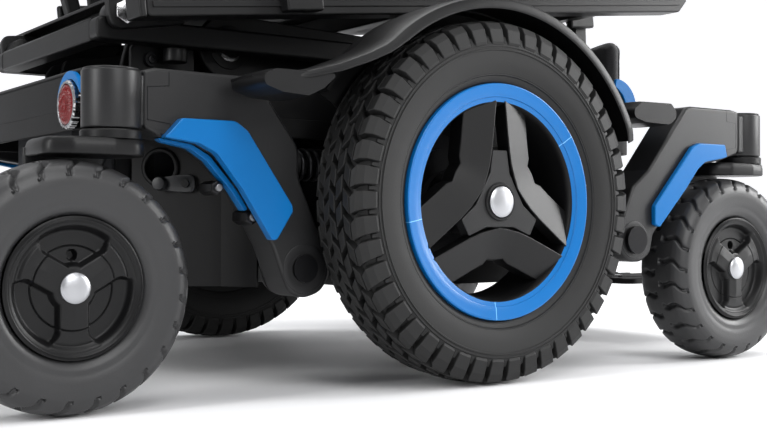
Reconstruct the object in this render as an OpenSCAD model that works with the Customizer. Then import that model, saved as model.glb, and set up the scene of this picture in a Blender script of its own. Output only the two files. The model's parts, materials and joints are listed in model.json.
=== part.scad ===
// Power wheelchair with a drive wheel under each side and four casters.
// Millimetres. X forward, Y to the chair's left, Z up.
// The origin is on the floor under the middle of the drive axle.

/* [Drive wheels] */
// Outer diameter of a drive tyre
drive_tyre_d = 356; // [300:1:366]
// Width of a drive tyre
drive_tyre_w = 76; // [64:1:78]
// Radius of the hole through a drive hub
drive_bore_r = 12.05; // [10:0.05:14]
// Half of the distance between the drive wheels
drive_half_track = 287; // [280:1:300]

/* [Casters] */
// Outer diameter of a caster wheel
caster_d = 210; // [180:1:212]
// Width of a caster wheel
caster_w = 65; // [50:1:66]
// How far the caster axle trails the swivel axis
caster_trail = 41.5; // [35:0.5:45]

/* [Base] */
// Height of the top of the base cover
cover_top = 298; // [290:1:300]
// Height of the rear battery
battery_h = 170; // [140:5:180]
// Radius of a suspension pin
arm_pin_r = 10; // [8:0.5:11]

/* [Seat lift] */
// Length of a lift link between its pivots
link_len = 340; // [300:5:360]

/* [Seat] */
// Slope of the seat rails in degrees
seat_slope = 6.4; // [0:0.2:8]
// Full width of the seat cushion
seat_w = 460; // [380:5:470]
// Depth of the seat cushion
seat_depth = 500; // [420:5:520]
// Thickness of the seat cushion
seat_t = 70; // [50:5:90]
// Length of the backrest cushion
back_h = 540; // [420:10:600]
// Lean of the backrest behind a right angle
back_lean = 10; // [5:1:15]
// Height of an armrest above the seat rail
arm_h = 245; // [220:5:280]

/* [Hidden] */
axle_z = drive_tyre_d / 2;
cax_z = caster_d / 2;
crown_z = caster_d + 3.5;
arch_r = drive_tyre_d / 2 + 15;
rear_px = -180;
rear_pz = axle_z - 63;
front_px = 205;
front_pz = axle_z - 39;
rear_sx = -366;
rear_sy = 236;
front_sx = 408;
front_sy = 283;
swivel_z = caster_d + 18;
p0x = -190;
p0z = cover_top + 38.5;
cover_recess_x = 272;
q0x = -130;
q0z = cover_top + 16;
tilt_x = -322;
tilt_z = 352;
rec_u = 105;
rec_w = 45;
flip_u = 145;
joy_u = 520;
joy_w = arm_h + 40;
joy_y = 272;
leg_u = 690;
leg_w = 5;
leg_x = tilt_x + leg_u * cos(seat_slope) - leg_w * sin(seat_slope);
leg_z = tilt_z + leg_u * sin(seat_slope) + leg_w * cos(seat_slope);
foot_x = leg_x + 12;
foot_z = 97;

module box(x0, x1, y0, y1, z0, z1) {
  translate([x0, y0, z0]) cube([x1 - x0, y1 - y0, z1 - z0]);
}

module two_box(x0, x1, y0, y1, z0, z1) {
  box(x0, x1, y0, y1, z0, z1);
  box(x0, x1, -y1, -y0, z0, z1);
}

module ycyl(x, z, y0, y1, r) {
  translate([x, y0, z]) rotate([-90, 0, 0]) cylinder(r = r, h = y1 - y0, $fn = 48);
}

module zcyl(x, y, z0, z1, r) {
  translate([x, y, z0]) cylinder(r = r, h = z1 - z0, $fn = 48);
}

module side_plate(pts, y0, y1) {
  translate([0, y1, 0]) rotate([90, 0, 0]) linear_extrude(height = y1 - y0) polygon(pts);
}

module right_side() {
  mirror([0, 1, 0]) children();
}

module both_sides() {
  children();
  mirror([0, 1, 0]) children();
}

module seat_place() {
  translate([tilt_x, 0, tilt_z]) rotate([0, -seat_slope, 0]) children();
}

module back_place() {
  seat_place() translate([rec_u, 0, rec_w]) rotate([0, -back_lean, 0]) children();
}

// A round-cornered pad lying flat, made of boxes and quarter-round corners.
module pad(x0, x1, y0, y1, z0, z1, r) {
  box(x0 + r, x1 - r, y0, y1, z0, z1);
  box(x0, x1, y0 + r, y1 - r, z0, z1);
  zcyl(x0 + r, y0 + r, z0, z1, r);
  zcyl(x1 - r, y0 + r, z0, z1, r);
  zcyl(x0 + r, y1 - r, z0, z1, r);
  zcyl(x1 - r, y1 - r, z0, z1, r);
}

// ---------------------------------------------------------------- base

module chassis_frame() {
  color([0.12, 0.12, 0.13]) difference() {
    union() {
      box(-350, -80, -86, 86, 92, 95);
      box(-84, 226, -200, 200, 92, 95);
      box(220, 262, -133, 133, 92, 95);
      two_box(-350, -80, 83, 86, 94, 200);
      two_box(-300, -260, 83, 86, 198, cover_top - 3);
      two_box(-140, -100, 83, 86, 198, cover_top - 3);
      box(-350, -347, -86, 86, 94, 200);
      two_box(66, 262, 130, 133, 94, 200);
      box(259, 262, -133, 133, 94, 200);
      two_box(-84, -80, 83, 200, 94, 240);
      two_box(223, 226, 130, 200, 94, 240);
      two_box(-84, 226, 197, 200, 94, 240);
      both_sides() ycyl(rear_px, rear_pz, 85, 204.7, 16);
      both_sides() ycyl(front_px, front_pz, 132, 261.7, 16);
      two_box(-112, -80, 197, 200, 186, 240);
      two_box(-112, -106, 198, 240, 192, 234);
      two_box(146, 152, 198, 240, 192, 234);
    }
    both_sides() ycyl(0, axle_z, 190, 210, 58);
    both_sides() ycyl(rear_px, rear_pz, 190, 210, arm_pin_r);
    both_sides() ycyl(front_px, front_pz, 240, 265, arm_pin_r);
    translate([-360, -50, 125]) rotate([0, 90, 0]) cylinder(r = 4.2, h = 20, $fn = 32);
    translate([-360, 50, 125]) rotate([0, 90, 0]) cylinder(r = 4.2, h = 20, $fn = 32);
    translate([-360, -50, 175]) rotate([0, 90, 0]) cylinder(r = 4.2, h = 20, $fn = 32);
    translate([-360, 50, 175]) rotate([0, 90, 0]) cylinder(r = 4.2, h = 20, $fn = 32);
  }
}

module battery_tray() {
  color([0.2, 0.2, 0.22]) union() {
    box(-346, 258, -82.7, 82.7, 95, 98);
    box(70.3, 258, -129.7, 129.7, 95, 98);
    two_box(-346, 70, 80.7, 82.7, 97, 140);
    two_box(70.3, 258, 127.7, 129.7, 97, 140);
    box(-346, -344, -82.7, 82.7, 97, 140);
    box(256, 258, -129.7, 129.7, 97, 140);
  }
}

module batteries() {
  color([0.3, 0.31, 0.33]) {
    box(-343, -88, -80, 80, 98, 98 + battery_h);
    box(76, 254, -126, 126, 98, 98 + battery_h);
    zcyl(-110, -55, 97 + battery_h, 108 + battery_h, 9);
    zcyl(-110, 55, 97 + battery_h, 108 + battery_h, 9);
    zcyl(100, -95, 97 + battery_h, 108 + battery_h, 9);
    zcyl(100, 95, 97 + battery_h, 108 + battery_h, 9);
  }
}

// Room in front for the footrest on its way up, and under the rear corners for the fork crowns
module cover_recesses(wall) {
  box(cover_recess_x - wall, 330, -134 - wall, 134 + wall, 220, cover_top + 10);
  two_box(-390, rear_sx + 92 + wall, rear_sy - 56 - wall, 220, 220, swivel_z + 30 + wall);
}

module body_cover() {
  color([0.09, 0.09, 0.1]) difference() {
    union() {
      pad(-376, 318, -200, 200, 240, cover_top - 6, 24);
      pad(-370, 312, -194, 194, cover_top - 8, cover_top, 20);
    }
    cover_recesses(0);
    difference() {
      union() {
        pad(-373, 315, -197, 197, 230, cover_top - 9, 21);
        pad(-366, 308, -190, 190, 230, cover_top - 3, 16);
      }
      cover_recesses(3);
    }
  }
}

module side_panel_one() {
  difference() {
    union() {
      translate([-285, 91, 0]) rotate([0, 0, 47.6]) box(0, 93.4, -1.5, 1.5, 96, 239.5);
      translate([-222, 160, 0]) rotate([0, 0, 59.7]) box(-1, 40, -1.5, 1.5, 96, 239.5);
      translate([-253.5, 125.5, 0]) rotate([0, 0, 47.6]) ycyl(12, 196, 0, 9, 4);
    }
    translate([-253.5, 125.5, 0]) rotate([0, 0, 47.6]) ycyl(-16, 212, -10, 10, 15);
  }
}

module side_panels() {
  color([0.08, 0.08, 0.09]) both_sides() side_panel_one();
}

module release_lever() {
  translate([-253.5, 125.5, 0]) rotate([0, 0, 47.6]) difference() {
    union() {
      ycyl(12, 196, 2, 7, 9);
      box(-14, 12, 2, 7, 191, 201);
      ycyl(-14, 196, 2, 14, 7);
    }
    ycyl(12, 196, -5, 15, 4.05);
  }
}

module release_lever_left() {
  color([0.55, 0.56, 0.58]) release_lever();
}

module release_lever_right() {
  color([0.55, 0.56, 0.58]) right_side() release_lever();
}

module power_module() {
  color([0.15, 0.15, 0.17]) union() {
    pad(-300, -140, -60, 60, 98 + battery_h, 88 + battery_h + 30, 8);
    box(-140, -122, -40, 40, 98 + battery_h, 114 + battery_h);
  }
}

module motor_one() {
  ycyl(0, axle_z, 92, 150, 52);
  ycyl(0, axle_z, 150, 232, 56);
  ycyl(0, axle_z, 200, 206, 75);
  ycyl(0, axle_z, 232, 240, 34);
  ycyl(0, axle_z, 240, drive_half_track + 16, 12);
}

module drive_motors() {
  color([0.25, 0.25, 0.27]) both_sides() motor_one();
}

module fender_one() {
  translate([0, 242, axle_z]) rotate([-90, 0, 0]) rotate([0, 0, 205])
    rotate_extrude(angle = 128, $fn = 96) translate([arch_r, 0]) square([4.5, 83]);
  translate([0, 242, axle_z]) rotate([-90, 0, 0]) rotate([0, 0, 205])
    rotate_extrude(angle = 128, $fn = 96) translate([arch_r - 40, 0]) square([41, 3]);
  side_plate([[-160, 291], [-255, 291], [-267, 284], [-267, 276], [-258, 268],
    [-238, 266], [-196, 282], [-172, 283], [-158, 284]], 262, 325);
  side_plate([[167, 284], [178, 268], [184, 262], [245, 264], [256, 271], [256, 282],
    [247, 291], [160, 291]], 262, 325);
  box(-70, 70, 200, 245, axle_z + 84, axle_z + 92);
  box(-70, 70, 242, 245, axle_z + 84, axle_z + 150);
}

module fenders() {
  color([0.07, 0.07, 0.08]) both_sides() fender_one();
}

module head_light_one() {
  pad(262, 318, 140, 196, cover_top, cover_top + 22, 14);
  pad(268, 314, 146, 190, cover_top + 21, cover_top + 32, 14);
  translate([317, 168, cover_top + 12]) rotate([0, 90, 0]) cylinder(r = 9, h = 7, $fn = 48);
}

module head_lights() {
  color([0.8, 0.8, 0.82]) both_sides() head_light_one();
}

module tail_light_one() {
  translate([-385, 172, 262]) rotate([0, 90, 0]) cylinder(r = 18, h = 9, $fn = 48);
  translate([-379, 172, 262]) rotate([0, 90, 0]) cylinder(r = 21, h = 3, $fn = 48);
}

module tail_lights() {
  color([0.7, 0.05, 0.06]) both_sides() tail_light_one();
}

module lift_bracket() {
  color([0.1, 0.1, 0.11]) both_sides() {
    box(-300, -100, 60, 92, cover_top, cover_top + 5);
    side_plate([[-300, cover_top + 2], [-100, cover_top + 2], [-112, cover_top + 28],
      [-165, cover_top + 54], [-215, cover_top + 54], [-290, cover_top + 40]], 84, 92);
    box(-300, -240, 91, 117, cover_top, cover_top + 6);
    side_plate([[-300, cover_top], [-232, cover_top], [-232, cover_top + 36],
      [-250, cover_top + 46], [-292, cover_top + 40], [-300, cover_top + 28]], 116, 122);
    ycyl(p0x, p0z, 84, 116, 8);
    ycyl(q0x, q0z, 84, 104, 8);
  }
}

module base_fasteners() {
  color([0.7, 0.7, 0.72]) both_sides() {
    ycyl(rear_px, rear_pz, 190, 246, arm_pin_r);
    ycyl(rear_px, rear_pz, 245.6, 248, 13);
    ycyl(front_px, front_pz, 240, 303, arm_pin_r);
    ycyl(front_px, front_pz, 302.6, 307, 15);
    ycyl(p0x, p0z, 116, 121, 11);
    ycyl(-246, cover_top + 29, 122, 127, 7);
    ycyl(-280, cover_top + 18, 122, 127, 7);
  }
}

// Four coil springs, drawn as closed bellows of the same size.
module spring_one(x0, x1) {
  n = 7;
  p = (x1 - x0) / n;
  translate([x0, 220, 213]) rotate([0, 90, 0]) for (i = [0 : n - 1]) {
    translate([0, 0, i * p]) cylinder(r1 = 13, r2 = 17, h = p / 2, $fn = 48);
    translate([0, 0, i * p + p / 2]) cylinder(r1 = 17, r2 = 13, h = p / 2, $fn = 48);
  }
}

module suspension_springs() {
  color([0.6, 0.6, 0.62]) both_sides() {
    spring_one(-184, -112);
    spring_one(152, 224);
  }
}

// -------------------------------------------------------- drive wheels

// Everything inside is drawn about Z with the outer side up.
module drive_wheel_place() {
  translate([0, drive_half_track, axle_z]) rotate([-90, 0, 0]) children();
}

module drive_tyre_shape() {
  r = drive_tyre_d / 2;
  w = drive_tyre_w / 2;
  drive_wheel_place() rotate_extrude($fn = 128) polygon([[102, -w + 12], [117, -w + 11],
    [124, -w + 5], [r - 38, -w], [r - 23, -w + 0.5], [r - 10, -w + 5], [r - 3, -w + 11],
    [r, -w + 20], [r, w - 20], [r - 3, w - 11], [r - 10, w - 5], [r - 23, w - 0.5],
    [r - 38, w], [124, w - 5], [117, w - 11], [102, w - 12]]);
}

module drive_tyre_left() {
  color([0.06, 0.06, 0.06]) drive_tyre_shape();
}

module drive_tyre_right() {
  color([0.06, 0.06, 0.06]) right_side() drive_tyre_shape();
}

module drive_rim_shape() {
  drive_wheel_place() rotate_extrude($fn = 96) polygon([[94, -27], [102, -27], [102, 27],
    [94, 27], [92, 20], [92, -20]]);
}

module drive_rim_left() {
  color([0.1, 0.1, 0.11]) drive_rim_shape();
}

module drive_rim_right() {
  color([0.1, 0.1, 0.11]) right_side() drive_rim_shape();
}

module rim_ring_shape() {
  drive_wheel_place() rotate_extrude($fn = 128) polygon([[97, 27], [115, 27], [115, 31],
    [113.5, 32.3], [104, 32.3], [100, 31], [97, 29]]);
}

module rim_ring_left() {
  color([0, 0.42, 0.8]) rim_ring_shape();
}

module rim_ring_right() {
  color([0, 0.42, 0.8]) right_side() rim_ring_shape();
}

module drive_hub_shape() {
  drive_wheel_place() difference() {
    union() {
      translate([0, 0, -40]) cylinder(r = 30, h = 66, $fn = 64);
      intersection() {
        union() {
          for (a = [0, 120, 240]) rotate([0, 0, a]) {
            box(-99, -12, -23, -5, 4, 25);
            box(-99, -12, 5, 23, 4, 25);
          }
        }
        cylinder(r = 91.9, h = 40, $fn = 96);
      }
      for (a = [0, 120, 240]) rotate([0, 0, a])
        translate([0, 0, 24]) linear_extrude(height = 6)
          polygon([[-14, -11], [-54, -7], [-58, 0], [-54, 7], [-14, 11]]);
      translate([0, 0, 22]) cylinder(r = 26, h = 8, $fn = 64);
      translate([0, 0, 29]) cylinder(r = 21, h = 5, $fn = 64);
    }
    translate([0, 0, -50]) cylinder(r = drive_bore_r, h = 68, $fn = 64);
  }
}

module drive_hub_left() {
  color([0.07, 0.07, 0.08]) drive_hub_shape();
}

module drive_hub_right() {
  color([0.07, 0.07, 0.08]) right_side() drive_hub_shape();
}

// ---------------------------------------------------- suspension arms

module rear_arm_shape() {
  difference() {
    union() {
      side_plate([[-341, 288], [-341, 238], [-326, 232], [-293, 227], [-275, 218],
        [-246, 190], [-214, 136], [-203, 106], [-160, 96], [-151, 122], [-160, 146],
        [-186, 200], [-186, 228], [-232, 290], [-330, 291]], 205, 245);
      ycyl(rear_px, rear_pz, 205, 245, 28);
      box(rear_sx, -338, 214, 245, swivel_z + 8.7, 288);
      zcyl(rear_sx, rear_sy, swivel_z + 8.7, 288, 25);
    }
    ycyl(rear_px, rear_pz, 200, 250, arm_pin_r + 0.05);
    zcyl(rear_sx, rear_sy, swivel_z, 280, 12.05);
  }
}

module rear_arm_left() {
  color([0.11, 0.11, 0.12]) rear_arm_shape();
}

module rear_arm_right() {
  color([0.11, 0.11, 0.12]) right_side() rear_arm_shape();
}

module front_arm_shape() {
  difference() {
    union() {
      side_plate([[384, 288], [384, 238], [352, 230], [317, 224], [305, 216], [284, 193],
        [232, 145], [231, 128], [200, 116], [181, 130], [181, 150], [203, 197], [228, 216],
        [292, 288], [300, 290], [372, 290]], 262, 302);
      ycyl(front_px, front_pz, 262, 302, 25);
      box(380, front_sx, 265, 302, swivel_z + 8.7, 288);
      zcyl(front_sx, front_sy, swivel_z + 8.7, 288, 25);
      box(224, 240, 204, 264, 196, 229);
    }
    ycyl(front_px, front_pz, 250, 310, arm_pin_r + 0.05);
    zcyl(front_sx, front_sy, swivel_z, 280, 12.05);
  }
}

module front_arm_left() {
  color([0.11, 0.11, 0.12]) front_arm_shape();
}

module front_arm_right() {
  color([0.11, 0.11, 0.12]) right_side() front_arm_shape();
}

module rear_trim_shape() {
  side_plate([[-326, 231], [-322, 234], [-309, 248], [-257, 248], [-245, 240], [-199, 174],
    [-198, 168], [-215, 142], [-220, 142], [-251, 189], [-276, 219], [-293, 227]], 245, 255);
}

module rear_trim_left() {
  color([0, 0.42, 0.8]) rear_trim_shape();
}

module rear_trim_right() {
  color([0, 0.42, 0.8]) right_side() rear_trim_shape();
}

module front_trim_shape() {
  side_plate([[307, 248], [352, 248], [356, 234], [348, 232], [317, 227], [305, 219],
    [284, 196], [240, 153], [232, 156], [232, 176], [240, 185], [296, 244]], 302, 308);
}

module front_trim_left() {
  color([0, 0.42, 0.8]) front_trim_shape();
}

module front_trim_right() {
  color([0, 0.42, 0.8]) right_side() front_trim_shape();
}

// ------------------------------------------------------------- casters

// Drawn about the swivel axis, on the left side of the chair.
module fork_shape(sx, sy) {
  translate([sx, sy, 0]) difference() {
    fork_solid();
    rotate_extrude($fn = 96) polygon([[36, swivel_z + 1], [100, crown_z - 2],
      [100, swivel_z + 20], [36, swivel_z + 20]]);
  }
}

module fork_solid() {
  union() {
    zcyl(0, 0, swivel_z, swivel_z + 8, 26);
    zcyl(0, 0, swivel_z + 7, 278, 12);
    zcyl(0, 0, crown_z, swivel_z + 1, 27);
    box(-56, 0, -49, 18, crown_z, swivel_z);
    box(-56, 16, -49, -20, crown_z, swivel_z);
    side_plate([[-66, crown_z + 2], [-56, swivel_z], [10, swivel_z], [18, crown_z],
      [-4, crown_z - 34], [-18, cax_z + 8], [-30, cax_z - 16], [-53, cax_z - 16],
      [-64, cax_z + 6], [-69, crown_z - 34]], -49, -37);
    ycyl(-caster_trail, cax_z, -49, -37, 19);
    ycyl(-caster_trail, cax_z, -40, 24, 8);
  }
}

module rear_fork_left() {
  color([0.08, 0.08, 0.09]) fork_shape(rear_sx, rear_sy);
}

module rear_fork_right() {
  color([0.08, 0.08, 0.09]) right_side() fork_shape(rear_sx, rear_sy);
}

module front_fork_left() {
  color([0.08, 0.08, 0.09]) fork_shape(front_sx, front_sy);
}

module front_fork_right() {
  color([0.08, 0.08, 0.09]) right_side() fork_shape(front_sx, front_sy);
}

module caster_place(sx, sy) {
  translate([sx - caster_trail, sy, cax_z]) rotate([-90, 0, 0]) children();
}

module caster_tyre_shape(sx, sy) {
  r = caster_d / 2;
  w = caster_w / 2;
  caster_place(sx, sy) rotate_extrude($fn = 96) polygon([[58, -w + 8], [66, -w + 3.5],
    [r - 30, -w + 0.5], [r - 22, -w], [r - 10, -w + 2.5], [r - 4, -w + 8], [r - 1, -w + 16],
    [r, -w + 24], [r, w - 24], [r - 1, w - 16], [r - 4, w - 8], [r - 10, w - 2.5],
    [r - 22, w], [r - 30, w - 0.5], [66, w - 3.5], [58, w - 8]]);
}

module caster_hub_shape(sx, sy) {
  w = caster_w / 2;
  caster_place(sx, sy) difference() {
    union() {
      rotate_extrude($fn = 96) polygon([[0, -w + 6], [18, -w + 6], [20, -8], [50, -8],
        [52, -w + 9], [58, -w + 9], [58, w - 9], [54, w - 5], [48, w - 5], [42, w - 10],
        [20, w - 8], [14, w - 2.5], [0, w - 2.5]]);
      for (a = [90, 210, 330]) rotate([0, 0, a]) translate([0, 0, w - 12])
        linear_extrude(height = 10) polygon([[0, -16], [40, -5], [46, 0], [40, 5], [0, 16]]);
      cylinder(r = 15, h = w - 1, $fn = 48);
    }
    translate([0, 0, -w - 5]) cylinder(r = 8.05, h = w + 30, $fn = 48);
  }
}

module rear_caster_tyre_left() {
  color([0.16, 0.16, 0.17]) caster_tyre_shape(rear_sx, rear_sy);
}

module rear_caster_tyre_right() {
  color([0.16, 0.16, 0.17]) right_side() caster_tyre_shape(rear_sx, rear_sy);
}

module front_caster_tyre_left() {
  color([0.16, 0.16, 0.17]) caster_tyre_shape(front_sx, front_sy);
}

module front_caster_tyre_right() {
  color([0.16, 0.16, 0.17]) right_side() caster_tyre_shape(front_sx, front_sy);
}

module rear_caster_hub_left() {
  color([0.05, 0.05, 0.06]) caster_hub_shape(rear_sx, rear_sy);
}

module rear_caster_hub_right() {
  color([0.05, 0.05, 0.06]) right_side() caster_hub_shape(rear_sx, rear_sy);
}

module front_caster_hub_left() {
  color([0.05, 0.05, 0.06]) caster_hub_shape(front_sx, front_sy);
}

module front_caster_hub_right() {
  color([0.05, 0.05, 0.06]) right_side() caster_hub_shape(front_sx, front_sy);
}

// ----------------------------------------------------------- seat lift

module lift_link_upper() {
  color([0.1, 0.1, 0.11]) difference() {
    union() {
      both_sides() {
        box(p0x, p0x + link_len, 105, 115, p0z - 13, p0z + 13);
        ycyl(p0x, p0z, 105, 115, 34);
        ycyl(p0x + link_len, p0z, 105, 115, 20);
      }
      ycyl(p0x + 190, p0z, -106, 106, 8);
    }
    ycyl(p0x, p0z, -120, 120, 8.05);
    ycyl(p0x + link_len, p0z, -120, 120, 8.05);
  }
}

module lift_link_lower() {
  color([0.1, 0.1, 0.11]) difference() {
    union() {
      both_sides() {
        box(q0x, q0x + link_len, 93, 103, q0z - 12, q0z + 12);
        ycyl(q0x, q0z, 93, 103, 15);
        ycyl(q0x + link_len, q0z, 93, 103, 15);
      }
      ycyl(q0x + 170, q0z, -94, 94, 8);
    }
    ycyl(q0x, q0z, -120, 120, 8.05);
    ycyl(q0x + link_len, q0z, -120, 120, 8.05);
  }
}

module lift_platform() {
  p1x = p0x + link_len;
  q1x = q0x + link_len;
  color([0.13, 0.13, 0.14]) both_sides() {
    box(-345, q1x + 38, 130, 150, 326, 350);
    box(-345, -325, 0, 131, 326, 350);
    box(q1x + 18, q1x + 38, 0, 131, 326, 350);
    side_plate([[p1x - 24, p0z - 12], [p1x - 24, 362], [p1x + 26, 362], [q1x + 20, 350],
      [q1x + 20, q0z - 12], [q1x - 14, q0z - 12]], 84, 92);
    ycyl(p1x, p0z, 84, 116, 8);
    ycyl(p1x, p0z, 115.3, 121, 11);
    ycyl(q1x, q0z, 84, 104, 8);
    box(tilt_x - 13, tilt_x + 13, 130, 150, 340, tilt_z + 4);
    ycyl(tilt_x, tilt_z, 130, 150, 13);
    ycyl(tilt_x, tilt_z, 149, 164, 8);
    ycyl(tilt_x, tilt_z, 162.3, 167, 12);
  }
}

module tilt_actuator() {
  color([0.3, 0.3, 0.32]) translate([q0x + link_len - 210, -56, 0]) union() {
    translate([66, 0, 376]) rotate([0, 90, 0]) cylinder(r = 16, h = 176, $fn = 48);
    translate([241, 0, 376]) rotate([0, 90, 0]) cylinder(r = 9, h = 60, $fn = 48);
    ycyl(306, 376, -10, 10, 15);
    box(229, 239, -11, 11, 350, 368);
  }
}

// ----------------------------------------------------- seat and back

module seat_frame() {
  hx = tilt_x + 380 * cos(seat_slope);
  hz = tilt_z + 380 * sin(seat_slope) + 2.4;
  color([0.12, 0.12, 0.13]) difference() {
    seat_place() union() {
      both_sides() {
        side_plate([[-10, -14], [690, -14], [706, 0], [706, 12], [-10, 12]], 200, 230);
        box(-16, 60, 152, 162, -16, 20);
        box(80, 130, 219, 229, 10, rec_w + 20);
        ycyl(rec_u, rec_w, 206, 220, 8);
        box(125, 165, 229, 233, -12, 10);
        box(125, 165, 232, 244, -12, arm_h + 17);
        ycyl(flip_u, arm_h, 243, 262, 8);
        box(660, 706, 64, 74, -12, 22);
        ycyl(leg_u, leg_w, 46, 65, 8);
      }
      box(30, 60, -201, 201, -2, 21);
      box(340, 370, -201, 201, -2, 21);
      box(640, 670, -201, 201, -2, 21);
      box(10, 690, -218, 218, 20, 24);
    }
    seat_place() ycyl(0, 0, -170, 170, 8.05);
    ycyl(hx, hz, -240, 240, 4.2);
    ycyl(hx + 60, hz, -240, 240, 4.2);
  }
}

module seat_cushion() {
  color([0.05, 0.05, 0.055]) seat_place()
    pad(133, 133 + seat_depth, -seat_w / 2, seat_w / 2, 24.3, 24.3 + seat_t, 40);
}

module back_frame() {
  color([0.12, 0.12, 0.13]) back_place() difference() {
    union() {
      both_sides() {
        box(-20, -2, 196, 216, -2, back_h + 20);
        ycyl(0, 0, 207, 218.7, 15);
        box(-20, 4, 196, 207, -2, 14);
        box(-15, 0, 207, 218, -8, 14);
      }
      box(-20, -2, -197, 197, 60, 80);
      box(-20, -2, -197, 197, 300, 320);
      box(-20, -2, -197, 197, back_h - 10, back_h + 10);
      box(-4, 0, -200, 200, 60, back_h + 20);
      box(-40, -19, -26, 26, back_h - 60, back_h + 20);
    }
    ycyl(0, 0, -230, 230, 8.05);
    box(-34.1, -25.9, -15.1, 15.1, back_h - 70, back_h + 30);
  }
}

module back_cushion() {
  color([0.05, 0.05, 0.055]) back_place() translate([0.3, 0, 0]) rotate([0, 90, 0])
    pad(-back_h - 72, -72, -210, 210, 0, 55, 45);
}

module headrest() {
  color([0.05, 0.05, 0.055]) back_place() union() {
    box(-34, -26, -15, 15, back_h - 90, back_h + 160);
    box(-34, 24, -15, 15, back_h + 140, back_h + 160);
    translate([22, 0, 0]) rotate([0, 90, 0])
      pad(-back_h - 225, -back_h - 95, -125, 125, 0, 50, 30);
  }
}

module leg_rest() {
  color([0.12, 0.12, 0.13]) difference() {
    union() {
      both_sides() {
        ycyl(leg_x, leg_z, 47, 63.7, 14);
        side_plate([[leg_x - 11, leg_z], [leg_x + 11, leg_z], [foot_x + 11, foot_z],
          [foot_x - 11, foot_z]], 47, 63.7);
        ycyl(foot_x, foot_z, 47, 63.7, 12);
      }
      box(leg_x - 6, leg_x + 12, -48, 48, 360, 380);
      box(leg_x - 2, leg_x + 16, -48, 48, 250, 270);
      translate([leg_x + 15.5, 0, 0]) rotate([0, 90, 0]) pad(-404, -246, -112, 112, 0, 30, 24);
    }
    ycyl(leg_x, leg_z, -80, 80, 8.05);
    ycyl(foot_x, foot_z, -80, 80, 6.05);
  }
}

module foot_plate() {
  color([0.14, 0.14, 0.15]) difference() {
    union() {
      pad(foot_x + 14, 512.5, -125, 125, foot_z - 20, foot_z - 12, 18);
      box(foot_x - 4, foot_x + 30, 66, 84, foot_z - 20, foot_z - 4);
      box(foot_x - 4, foot_x + 30, -84, -66, foot_z - 20, foot_z - 4);
      ycyl(foot_x, foot_z, 65, 84, 11);
      ycyl(foot_x, foot_z, -84, -65, 11);
      ycyl(foot_x, foot_z, -84, 84, 6);
    }
    zcyl(440, -60, 60, 100, 3.3);
    zcyl(440, 60, 60, 100, 3.3);
  }
}

// ------------------------------------------------ armrests and control

module armrest_shape(reach) {
  seat_place() difference() {
    union() {
      box(flip_u, reach, 246, 261, arm_h - 11, arm_h + 11);
      ycyl(flip_u, arm_h, 246, 261, 16);
      box(220, 250, 246, 261, arm_h + 9, arm_h + 19);
      box(390, 420, 246, 261, arm_h + 9, arm_h + 19);
      pad(195, 455, 238, 300, arm_h + 18, arm_h + 42, 20);
    }
    ycyl(flip_u, arm_h, 230, 280, 8.05);
  }
}

module armrest_left() {
  color([0.07, 0.07, 0.08]) armrest_shape(430);
}

module armrest_right() {
  color([0.07, 0.07, 0.08]) right_side() armrest_shape(545);
}

module joystick_box() {
  color([0.1, 0.1, 0.11]) seat_place() difference() {
    union() {
      pad(475, 575, -joy_y - 32, -joy_y + 32, arm_h + 11, arm_h + 42, 14);
      translate([joy_u, -joy_y, arm_h + 41]) cylinder(r = 24, h = 4, $fn = 48);
    }
    translate([joy_u, -joy_y, arm_h + 24]) cylinder(r = 18, h = 30, $fn = 48);
    translate([joy_u - 22, -joy_y, joy_w - 6]) rotate([0, 90, 0])
      cylinder(r = 2.05, h = 44, $fn = 32);
    translate([556, -joy_y, arm_h + 36]) cylinder(r = 7.05, h = 20, $fn = 48);
  }
}

module joystick_gimbal() {
  color([0.6, 0.6, 0.62]) seat_place() translate([joy_u, -joy_y, joy_w - 6]) difference() {
    union() {
      translate([0, 0, -3]) cylinder(r = 13, h = 6, $fn = 48);
      translate([-21, 0, 0]) rotate([0, 90, 0]) cylinder(r = 2, h = 42, $fn = 32);
    }
    translate([0, 0, -5]) cylinder(r = 9, h = 10, $fn = 48);
    ycyl(0, 0, -20, 20, 2.05);
  }
}

module joystick_lever() {
  color([0.05, 0.05, 0.055]) seat_place() translate([joy_u, -joy_y, joy_w - 6]) union() {
    translate([0, 0, -4]) cylinder(r = 4, h = 44, $fn = 48);
    ycyl(0, 0, -12, 12, 2);
    translate([0, 0, 14]) cylinder(r1 = 12, r2 = 5, h = 10, $fn = 48);
    translate([0, 0, 36]) cylinder(r1 = 6, r2 = 10, h = 12, $fn = 48);
    translate([0, 0, 48]) cylinder(r1 = 10, r2 = 7, h = 6, $fn = 48);
  }
}

module power_button() {
  color([0.1, 0.5, 0.25]) seat_place() translate([556, -joy_y, arm_h + 38])
    cylinder(r = 7, h = 6.5, $fn = 48);
}

chassis_frame();
battery_tray();
batteries();
body_cover();
side_panels();
power_module();
drive_motors();
fenders();
head_lights();
tail_lights();
lift_bracket();
suspension_springs();
base_fasteners();
release_lever_left();
release_lever_right();
drive_tyre_left();
drive_tyre_right();
drive_rim_left();
drive_rim_right();
rim_ring_left();
rim_ring_right();
drive_hub_left();
drive_hub_right();
rear_arm_left();
rear_arm_right();
front_arm_left();
front_arm_right();
rear_trim_left();
rear_trim_right();
front_trim_left();
front_trim_right();
rear_fork_left();
rear_fork_right();
front_fork_left();
front_fork_right();
rear_caster_tyre_left();
rear_caster_tyre_right();
front_caster_tyre_left();
front_caster_tyre_right();
rear_caster_hub_left();
rear_caster_hub_right();
front_caster_hub_left();
front_caster_hub_right();
lift_link_lower();
lift_link_upper();
lift_platform();
tilt_actuator();
seat_frame();
seat_cushion();
back_frame();
back_cushion();
headrest();
leg_rest();
foot_plate();
armrest_left();
armrest_right();
joystick_box();
joystick_gimbal();
joystick_lever();
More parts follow.
